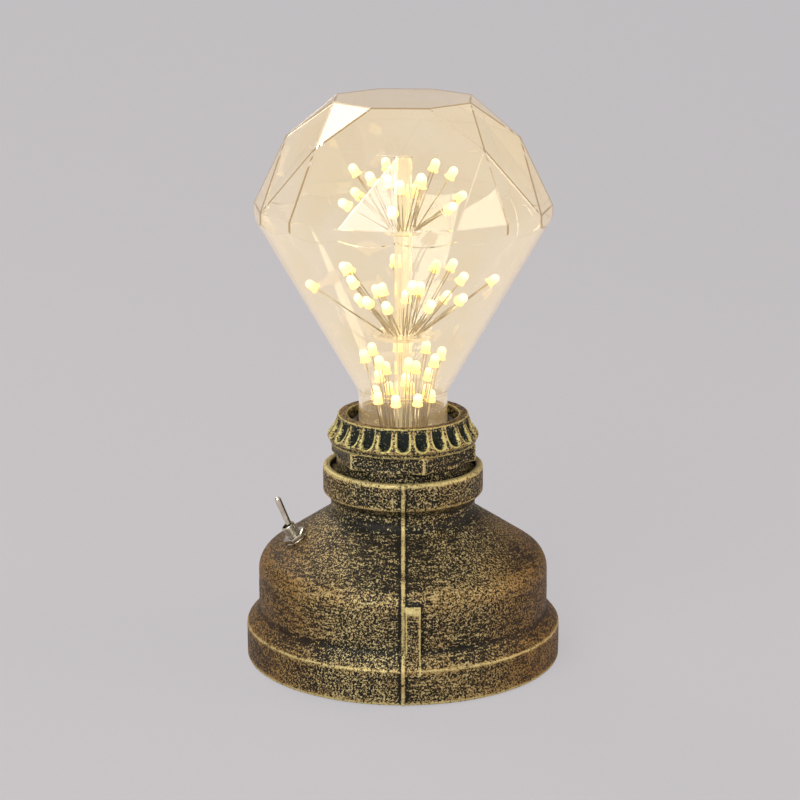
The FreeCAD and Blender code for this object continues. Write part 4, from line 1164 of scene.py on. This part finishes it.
@dataclass
class FlutedRing(Assembly):
    """The clamping ring: a flared crown with round-bottomed flutes."""

    foot: float = 95.52
    top: float = 107.72
    rim: float = 27.8
    flare: float = 32.3
    bore: float = 21.7
    well: float = 23.7
    count: int = 24
    flute_half: float = 2.45
    flute_floor: float = 27.7
    flute_foot: float = 98.92
    flute_head: float = 107.12
    band: float = 31.3
    well_depth: float = 6.2
    flank_foot: float = 3.3
    flank_hollow: float = 0.75
    flank_inside: float = 26.5

    def outline(self) -> list[Point2]:
        """Closed outline in metres, with the flank hollowed under the rim."""
        flank = []
        low, high = (self.flare, self.foot + self.flank_foot), (self.rim, self.top)
        for part in range(1, 12):
            share = part / 12
            hollow = self.flank_hollow * math.sin(math.pi * share)
            flank.append(
                (low[0] + (high[0] - low[0]) * share - hollow, low[1] + (high[1] - low[1]) * share)
            )
        corners = [
            (self.bore, self.foot),
            (self.band, self.foot),
            (self.band, self.foot + 1.4),
            (self.flare, self.foot + 2.3),
            low,
            *flank,
            high,
            (self.well, self.top),
            (self.well, self.top - self.well_depth),
            (self.bore, self.top - self.well_depth),
        ]
        radii = (0.4, 0.3, 0.5, 0.5, *(0,) * len(flank), 0.6, 0.6, 0.3)
        outline = rounded(corners, radii, 0.33) + rounded([corners[-1], corners[0]], (), 1.5)[1:-1]
        return [(radius * MM, height * MM) for radius, height in outline]

    def surface(self, radius: float, height: float, angle: float) -> float:
        """Radius of the crown's skin with its flutes."""
        if radius < self.flank_inside * MM:
            return radius
        pitch = 2 * math.pi / self.count
        off = (angle + math.pi / 2 + pitch / 2) % pitch - pitch / 2
        side = abs(radius * math.sin(off)) / MM
        level = height / MM
        rise = self.flute_foot + self.flute_half - level
        edge = math.hypot(side, rise) if rise > 0 else side
        inside = min(self.flute_half - edge, self.flute_head - level)
        share = FootCasting.step(inside + 0.2, 0.6)
        floor = min(radius, self.flute_floor * MM / math.cos(off))
        return radius + (floor - radius) * share

    def build(self) -> None:
        """Make the ring, darken its flutes and dress it."""
        piece = turned("flared_fluted_ring", self.outline(), self.count * 22, self.surface)
        self.hollows(piece)
        self.fit(piece, "foot", "antique_ring", RING_BRONZE, "fluted_ring")

    def hollows(self, piece: bpy.types.Object) -> None:
        """Mark the flutes as full of dark paint, and press the sand's unevenness into the ring."""
        mark_wear(piece, 6, 0.16)
        dark_paint_and_shade = numbers(piece, "dark_paint_and_shade")
        for vertex in piece.data.vertices:
            radius = math.hypot(vertex.co.x, vertex.co.y) / MM
            level = vertex.co.z / MM
            if not self.flute_foot - 0.2 <= level <= self.flute_head + 0.2:
                continue
            if radius < self.flank_inside:
                continue
            start = self.foot + self.flank_foot
            share = max((level - start) / (self.top - start), 0)
            skin = self.flare + (self.rim - self.flare) * share
            skin -= self.flank_hollow * math.sin(math.pi * min(share, 1))
            depth = (skin - radius - 0.25) / 0.6
            dark_paint_and_shade[vertex.index] = max(dark_paint_and_shade[vertex.index], min(max(depth, 0.0), 1.0) * 1.4)
        store(piece, "dark_paint_and_shade", dark_paint_and_shade)
        roughen(piece, 0.12, 0.10)


@dataclass
class Lampholder(Assembly):
    """The phenolic screw lampholder clamped by the ring."""

    def build(self) -> None:
        """Round the skirt's edges, and dress the rest."""
        cup = self.eased("lampholder_body", "lampholder_cup", 0.4)
        self.fit(cup, "foot", "phenolic", PHENOLIC, "lampholder_body")
        shell = merged_copy(self.node("screw_shell"), "rolled_screw_shell")
        smooth_below(shell, 50)
        self.fit(shell, "foot", "nickel_brass", SHELL_PLATE, "screw_shell")
        self.dress(PHENOLIC, "lampholder_base")
        self.dress(BRASS, "neutral_terminal", "live_terminal", "centre_leaf")
        self.dress(SCREW_ZINC, "terminal_screws", "holder_screws")


@dataclass
class ToggleSwitch(Assembly):
    """The miniature toggle on the shoulder, in its own frame: Z out of the cone, X downhill."""

    circle: float = 46.6
    azimuth: float = 194.0
    slope: float = 33.5
    pitch: float = 0.75
    bore: float = 2.25
    crest: float = 3.0
    root: float = 2.72
    bushing_span: tuple[float, float] = (-3.2, 7.6)
    thread_foot: float = 2.6
    plate: tuple[float, float, float] = (13.0, 8.0, 0.8)

    @classmethod
    def spot(cls) -> Vector:
        """Where the bushing's axis leaves the cone."""
        rise = math.tan(math.radians(cls.slope))
        height = FootCasting.barrel_top + (FootCasting.barrel_radius - cls.circle) * rise
        angle = math.radians(cls.azimuth)
        return Vector((cls.circle * math.cos(angle), cls.circle * math.sin(angle), height)) * MM

    @classmethod
    def turn(cls) -> Matrix:
        """Rotation from the switch's own frame to the lamp's."""
        around = Matrix.Rotation(math.radians(cls.azimuth), 4, "Z")
        return around @ Matrix.Rotation(math.radians(cls.slope), 4, "Y")

    def threaded_bushing(self) -> bpy.types.Object:
        """The bushing, its thread cut down to a plain collar, on its square plate."""
        bore, crest, root = self.bore, self.crest, self.root
        foot, head = self.bushing_span
        corners = [(bore, head), (bore, foot), (crest, foot), (crest, self.thread_foot)]
        height = self.thread_foot
        while height < head - 0.6:
            corners += [(crest, height + 0.1), (root, height + 0.33), (crest, height + 0.56)]
            height += self.pitch
        corners += [(crest, head - 0.35), (crest - 0.25, head)]
        outline = [(radius * MM, level * MM) for radius, level in corners]
        tube = turned("threaded_bushing", outline, 48)
        smooth_below(tube, 40)
        joined = bmesh.new()
        joined.from_mesh(tube.data)
        size = Matrix.Diagonal((*(Vector(self.plate) * MM), 1))
        plate = bmesh.ops.create_cube(joined, size=1.0, matrix=size)
        drop = Vector((0, 0, (foot - self.plate[2] / 2) * MM))
        bmesh.ops.translate(joined, verts=plate["verts"], vec=drop)
        joined.to_mesh(tube.data)
        joined.free()
        return place_at(tube, Matrix.Translation(self.spot()) @ self.turn())

    def build(self) -> None:
        """Make the bushing, ease the nut and washer, and dress the rest."""
        self.fit(self.threaded_bushing(), "foot", "nickel", TURNED_NICKEL, "switch_bushing")
        nut = self.eased("switch_nut", "hexagon_nut", 0.12, 2, 40.0, 32.0)
        self.fit(nut, "foot", "nickel", NICKEL, "switch_nut")
        washer = self.eased("switch_washer", "pressed_washer", 0.1, 2, 40.0, 32.0)
        self.fit(washer, "foot", "nickel", NICKEL, "switch_washer")
        lever = merged_copy(self.node("switch_lever"), "bat_lever")
        smooth_below(lever, 40)
        self.fit(lever, "switch_lever", "nickel", NICKEL, "switch_lever")
        self.dress(SWITCH_CASE, "switch_case")
        self.dress(BRASS, "switch_terminals", "switch_rocker")


@dataclass
class DiamondBulb(Assembly):
    """The blown envelope cut like a brilliant, with its cap, stem and discs."""

    contact: float = 66.82
    neck_end: float = 12.9
    neck: float = 18.9
    girdle: float = 62.5
    girdle_level: float = 195.42
    ring: float = 48.6
    ring_level: float = 226.02
    table: float = 30.5
    top: float = 241.82
    wall: float = 1.2
    first_corner: float = -70.0
    sides: int = 8
    cap_height: float = 27.0
    cap_skirt: float = 5.2
    shoulder: float = 50.7
    stem: tuple[float, float] = (3.0, 3.7)
    stem_span: tuple[float, float] = (91.22, 217.22)

    def crown(self, scale: float) -> bmesh.types.BMesh:
        """The brilliant's crown over a tall prism, drawn in by a scale."""
        middle = self.girdle_level + 2.0
        step = 360.0 / self.sides

        def corner(radius: float, degrees: float, level: float) -> Vector:
            angle = math.radians(degrees)
            height = middle + (level - middle) * scale
            wide = radius * scale
            return Vector((wide * math.cos(angle), wide * math.sin(angle), height)) * MM

        shape = bmesh.new()
        table, ring = [], []
        for k in range(self.sides):
            turn = self.first_corner + step * k
            table.append(shape.verts.new(corner(self.table, turn, self.top)))
            ring.append(shape.verts.new(corner(self.ring, turn + step / 2, self.ring_level)))
        girdle, foot = [], []
        for k in range(2 * self.sides):
            edge = corner(self.girdle, self.first_corner + step * k / 2, middle)
            girdle.append(shape.verts.new(edge))
            foot.append(shape.verts.new(edge - Vector((0, 0, 60 * MM))))
        shape.faces.new(table)
        shape.faces.new(foot[::-1])
        for k in range(self.sides):
            after = (k + 1) % self.sides
            left, right = girdle[2 * k], girdle[2 * k + 1]
            beyond = girdle[(2 * k + 2) % len(girdle)]
            for triangle in (
                (table[k], table[after], ring[k]),
                (ring[k - 1], table[k], ring[k]),
                (left, ring[k - 1], ring[k]),
                (left, ring[k], right),
                (right, ring[k], beyond),
            ):
                shape.faces.new(triangle)
        for k in range(len(girdle)):
            after = (k + 1) % len(girdle)
            shape.faces.new((girdle[k], girdle[after], foot[after], foot[k]))
        bmesh.ops.recalc_face_normals(shape, faces=shape.faces)
        return shape

    def skin(self, wall: float, end: float) -> bpy.types.Object:
        """One skin of the envelope as a closed mesh.

        Args:
            wall: How far inside the outer skin it lies, in millimetres.
            end: Height of its lower end.

        Returns:
            The revolved outline inside the cut crown.
        """
        shift = wall * 1.15
        cap_top = self.contact + self.cap_height
        corners = [
            (0, end),
            (self.neck_end - wall, end),
            (self.neck_end - wall, cap_top + 0.8),
            (self.neck - wall, cap_top + 6.7 + wall * 0.4),
            (self.neck - wall, self.contact + self.shoulder + wall * 0.3),
            (self.girdle - shift, self.girdle_level - 2.0),
            (self.girdle - shift, self.top + 5.0),
            (0, self.top + 5.0),
        ]
        outline = rounded(corners, (0, 3, 5, 10, 2, 0), 2.0)
        body = turned("skin", [(r * MM, z * MM) for r, z in outline], 160, closed=False)
        scale = 1.0 - wall / (self.top - self.girdle_level - 2.0)
        cut = mesh_object("crown", self.crown(scale))
        low, high = (end - 5) * MM, (self.girdle_level - 10) * MM
        lower = post("lower", (self.girdle + 5) * MM, low, high, sides=24)
        combine(cut, Operation.JOIN, lower)
        return combine(body, Operation.COMMON, cut)

    def envelope(self) -> bpy.types.Object:
        """The hollow envelope, open at its neck where the cap holds it."""
        end = self.contact + self.cap_height - self.cap_skirt + 1.4
        outer = self.skin(0.0, end)
        outer.name = "cut_glass_envelope"
        combine(outer, Operation.CUT, self.skin(self.wall, end - 1.0))
        shape = bmesh.new()
        shape.from_mesh(outer.data)
        bmesh.ops.remove_doubles(shape, verts=shape.verts, dist=2e-6)
        bmesh.ops.dissolve_degenerate(shape, dist=1e-6, edges=shape.edges)
        shape.to_mesh(outer.data)
        shape.free()
        smooth_below(outer, 5.5)
        return outer

    def build(self) -> None:
        """Make the envelope, and dress the cap, stem and discs."""
        self.fit(self.envelope(), "bulb", "amber_glass", AMBER_GLASS, "bulb_glass")
        cap = merged_copy(self.node("bulb_cap"), "rolled_bulb_cap")
        smooth_below(cap, 45)
        self.fit(cap, "bulb", "cap_metal", CAP_METAL, "bulb_cap")
        (bore, skin), (foot, head) = self.stem, self.stem_span
        outline = rounded([(bore, foot), (skin, foot), (skin, head), (bore, head)], (0.2, 0.2), 4.0)
        tube = turned("stem_glass_tube", [(r * MM, z * MM) for r, z in outline], 40)
        smooth_below(tube, 40)
        self.fit(tube, "bulb", "clear_glass", STEM_GLASS, "stem_tube")
        self.dress(INSULATOR, "cap_insulator")
        self.dress(SOLDER, "cap_contact")
        self.dress(BOARD, "driver_board")
        self.dress(COMPONENTS, "driver_components")
        self.dress(DISC_GLASS, "low_disc", "mid_disc", "top_disc")


@dataclass(frozen=True)
class LampRow:
    """One ring of lamps on a disc.

    Attributes:
        count: Lamps in the ring.
        bearing: First lamp's bearing in degrees.
        start: Radius where the leads leave the disc.
        tilt: Lean outward from upright in degrees.
        reach: From the disc to the lens's tip.
    """

    count: int
    bearing: float
    start: float
    tilt: float
    reach: float


@dataclass
class LampFan(Assembly):
    """The small lamps of one disc on their pairs of leads, laid out by Geometry Nodes."""

    name: str = "low"
    level: float = 95.82
    rows: tuple[LampRow, ...] = ()
    lens_radius: float = 1.9
    lens_length: float = 5.6
    flange: float = 2.3
    lead_radius: float = 0.25
    lead_spacing: float = 1.6

    def points(self) -> tuple[list[Vector], list[tuple[float, float, float]], list[float]]:
        """Feet, rotations and lead lengths of the disc's lamps, in metres and radians."""
        feet, turns, runs = [], [], []
        for row in self.rows:
            for index in range(row.count):
                bearing = math.radians(row.bearing + 360.0 * index / row.count)
                foot = Vector((row.start * math.cos(bearing), row.start * math.sin(bearing), 0))
                feet.append((foot + Vector((0, 0, self.level + 0.3))) * MM)
                turns.append((0.0, math.radians(row.tilt), bearing))
                runs.append((row.reach - self.lens_length) * MM)
        return feet, turns, runs

    def layout(self, name: str) -> bpy.types.Object:
        """A mesh of bare points that carries each lamp's rotation and lead length."""
        feet, turns, runs = self.points()
        mesh = bpy.data.meshes.new(name)
        mesh.from_pydata([tuple(foot) for foot in feet], [], [])
        turn = mesh.attributes.new("turn", "FLOAT_VECTOR", "POINT")
        turn.data.foreach_set("vector", [part for values in turns for part in values])
        run = mesh.attributes.new("run", "FLOAT", "POINT")
        run.data.foreach_set("value", runs)
        return add_object(name, mesh)

    def tree(self, name: str, stretched: bool) -> bpy.types.NodeTree:
        """Geometry Nodes that stand a pattern piece on every point.

        Args:
            name: Tree's name.
            stretched: Whether the piece is drawn out to the lead's length, or moved to its end.

        Returns:
            The tree, with the pattern piece and the finish as its named inputs.
        """
        tree, given = start_layout(name, {"Pattern piece": "Object"})
        turn = add_node(
            tree, "GeometryNodeInputNamedAttribute", {"Name": "turn"}, data_type="FLOAT_VECTOR"
        ).outputs[0]
        run = add_node(
            tree, "GeometryNodeInputNamedAttribute", {"Name": "run"}, data_type="FLOAT"
        ).outputs[0]
        points = given["Geometry"]
        scale: object = (1.0, 1.0, 1.0)
        if stretched:
            drawn = {"X": 1.0, "Y": 1.0, "Z": run}
            scale = add_node(tree, "ShaderNodeCombineXYZ", drawn).outputs[0]
        else:
            along = add_node(tree, "ShaderNodeCombineXYZ", {"Z": run}).outputs[0]
            shift = add_node(
                tree, "ShaderNodeVectorRotate", {"Vector": along, "Rotation": turn},
                rotation_type="EULER_XYZ",
            ).outputs[0]
            points = add_node(
                tree, "GeometryNodeSetPosition", {"Geometry": points, "Offset": shift}
            ).outputs[0]
        piece = add_node(tree, "GeometryNodeObjectInfo", {"Object": given["Pattern piece"]})
        copies = add_node(
            tree,
            "GeometryNodeInstanceOnPoints",
            {
                "Points": points,
                "Instance": piece.outputs["Geometry"],
                "Rotation": turn,
                "Scale": scale,
            },
        )
        return end_layout(tree, copies, given)

    def lens(self) -> bpy.types.Object:
        """One lens with its flange and domed end, with its height stored as a share."""
        dome = self.lens_length - self.lens_radius
        corners = [(0, 0), (self.flange, 0), (self.flange, 0.8), (self.lens_radius, 1.0),
                   (self.lens_radius, dome)]
        outline = rounded(corners, (0.2, 0.2, 0), 1.2)
        for part in range(1, 6):
            angle = math.pi / 2 * part / 5
            across, up = self.lens_radius * math.cos(angle), self.lens_radius * math.sin(angle)
            outline.append((across, dome + up))
        outline[-1] = (0.0, self.lens_length)
        lens = turned("one_lens", [(r * MM, z * MM) for r, z in outline], 14, closed=False)
        heights = [vertex.co.z / (self.lens_length * MM) for vertex in lens.data.vertices]
        store(lens, "along", heights)
        return lens

    def leads(self) -> bpy.types.Object:
        """A pair of leads one metre long, to be shortened."""
        shape = bmesh.new()
        for side in (-0.5, 0.5):
            made = bmesh.ops.create_cone(
                shape, cap_ends=True, segments=8, radius1=self.lead_radius * MM,
                radius2=self.lead_radius * MM, depth=1.0,
            )
            shift = Vector((0, side * self.lead_spacing * MM, 0.5))
            bmesh.ops.translate(shape, verts=made["verts"], vec=shift)
        for face in shape.faces:
            face.smooth = len(face.verts) == 4
        return mesh_object("one_pair_of_leads", shape)

    def stand(
        self, name: str, pattern: bpy.types.Object, stretched: bool, finish: Finish
    ) -> bpy.types.Object:
        """Stand a pattern piece on every point.

        Args:
            name: Finished piece's name.
            pattern: Piece that is repeated, and then dropped.
            stretched: Whether it is drawn out to the lead's length, or moved to its end.
            finish: Its finish.

        Returns:
            The repeated piece as a plain mesh.
        """
        item = self.layout(name)
        modifier = item.modifiers.new("Layout", "NODES")
        modifier.node_group = self.tree(name + "_layout", stretched)
        set_inputs(modifier, {"Pattern piece": pattern, "Finish": finish.material()})
        settle(item)
        bpy.data.objects.remove(pattern)
        return item

    def build(self) -> None:
        """Make and dress the fan's lenses and leads."""
        lenses = self.stand(f"{self.name}_lenses", self.lens(), False, LENS)
        self.fit(lenses, "bulb", "warm_lamp", LENS, f"{self.name}_lamps")
        wires = self.stand(f"{self.name}_wires", self.leads(), True, LEAD_WIRE)
        self.fit(wires, "bulb", "lead_wire", LEAD_WIRE, f"{self.name}_leads")


FANS: dict[str, tuple[float, tuple[LampRow, ...]]] = {
    "low": (95.82, (LampRow(8, 8.0, 8.0, 12.9, 41.0), LampRow(5, 60.0, 6.2, 9.4, 32.5),
                    LampRow(8, 30.5, 9.4, 7.6, 23.0))),
    "mid": (142.82, (LampRow(6, 8.0, 8.6, 55.0, 39.5), LampRow(6, 38.0, 6.9, 38.0, 35.0),
                     LampRow(6, 8.0, 5.2, 42.0, 22.5), LampRow(3, 38.0, 4.9, 14.0, 21.0))),
    "top": (186.82, (LampRow(6, 20.0, 6.8, 58.0, 25.0), LampRow(6, 50.0, 5.6, 32.0, 31.0),
                     LampRow(3, 20.0, 4.9, 10.0, 22.0))),
}


# Studio


@dataclass
class Studio:
    """Pale sweep, soft lamps and the camera."""

    backdrop: str = "#c4c1c4"
    own_share: float = 0.86
    focal_pixels: float = 2543.1
    picture_pixels: float = 800.0
    look_down: float = 14.8

    def sweep(self) -> None:
        """Floor that curves up into a backdrop and shows its own colour to the viewer."""
        path = rounded([(-4.0, 0.0), (1.9, 0.0), (1.9, 3.0)], (1.1,), 0.12)
        shape = bmesh.new()
        near, far = (
            [shape.verts.new((side, along, up)) for along, up in path] for side in (-5, 5)
        )
        for index in range(len(path) - 1):
            after = index + 1
            shape.faces.new((near[index], far[index], far[after], near[after]))
        for face in shape.faces:
            face.smooth = True
        floor = mesh_object("paper_sweep", shape)
        material = bpy.data.materials.new("matt paper sweep")
        material.use_nodes = True
        tree = material.node_tree
        tree.nodes.clear()
        lit = add_node(tree, "ShaderNodeBsdfDiffuse", {"Color": linear(self.backdrop)}).outputs[0]
        plain = add_node(tree, "ShaderNodeEmission", {"Color": linear(self.backdrop)}).outputs[0]
        path_info = add_node(tree, "ShaderNodeLightPath").outputs
        seen = calc(tree, "MAXIMUM", path_info["Is Camera Ray"], path_info["Is Transmission Ray"])
        share = calc(tree, "MULTIPLY", seen, self.own_share)
        mixed = add_node(tree, "ShaderNodeMixShader", {0: share, 1: lit, 2: plain}).outputs[0]
        add_node(tree, "ShaderNodeOutputMaterial", {"Surface": mixed})
        floor.data.materials.append(material)

    def world(self) -> None:
        """Even light from all round."""
        world = bpy.data.worlds.new("Studio")
        bpy.context.scene.world = world
        world.use_nodes = True
        tree = world.node_tree
        tree.nodes.clear()
        air = add_node(tree, "ShaderNodeBackground", {"Color": linear("#e6e3e4"), "Strength": 0.50})
        add_node(tree, "ShaderNodeOutputWorld", {"Surface": air.outputs[0]})

    def lamp(
        self, name: str, spot: Sequence[float], size: tuple[float, float], power: float, tint: str
    ) -> None:
        """Hang a soft rectangular lamp that faces the middle of the object.

        Args:
            name: Lamp's name.
            spot: Its place.
            size: Its width and height in metres.
            power: Its power in watts.
            tint: Its colour.
        """
        data = bpy.data.lights.new(name, "AREA")
        data.shape = "RECTANGLE"
        data.size, data.size_y = size
        data.energy = power
        data.color = linear(tint)[:3]
        item = bpy.data.objects.new(name, data)
        item.location = spot
        aim = Vector((0, 0, 0.12)) - Vector(spot)
        item.rotation_euler = aim.to_track_quat("-Z", "Y").to_euler()
        bpy.context.scene.collection.objects.link(item)

    def camera(self) -> None:
        """Camera at the photograph's place, a metre away and looking down a little."""
        data = bpy.data.cameras.new("Camera")
        data.sensor_width = 36.0
        data.lens = self.focal_pixels * data.sensor_width / self.picture_pixels
        data.clip_start, data.clip_end = 0.05, 20.0
        item = bpy.data.objects.new("Camera", data)
        item.location = (-0.0013, -1.0453, 0.3892)
        item.rotation_euler = (math.radians(90.0 - self.look_down), 0.0, 0.0)
        bpy.context.scene.collection.objects.link(item)
        bpy.context.scene.camera = item

    def build(self) -> None:
        """Set the whole studio up."""
        self.sweep()
        self.world()
        self.lamp("Key", (-0.60, -1.05, 0.95), (1.1, 1.1), 18.0, "#fffbf2")
        self.lamp("Window", (-0.36, -0.95, 0.80), (0.24, 0.42), 3.6, "#ffffff")
        self.lamp("Fill", (0.95, -0.1, 0.45), (0.6, 0.6), 5.0, "#ffe9cf")
        self.lamp("Back", (-0.6, 0.8, 0.9), (0.6, 0.6), 6.0, "#fff4e4")
        self.camera()


def main() -> None:
    """Load the frame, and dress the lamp."""
    logging.basicConfig(level=logging.INFO, format="%(name)s: %(message)s")
    bpy.context.scene.view_settings.view_transform = "Standard"
    for item in list(bpy.data.objects):
        bpy.data.objects.remove(item)
    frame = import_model()
    Studio().build()
    assemblies: list[Assembly] = [
        FootCasting(frame),
        FootFittings(frame),
        HexBushing(frame),
        FlutedRing(frame),
        Lampholder(frame),
        ToggleSwitch(frame),
        DiamondBulb(frame),
    ]
    assemblies += [LampFan(frame, name, level, rows) for name, (level, rows) in FANS.items()]
    for assembly in assemblies:
        LOG.info("Building %s", type(assembly).__name__)
        assembly.build()


if __name__ == "__main__":
    main()
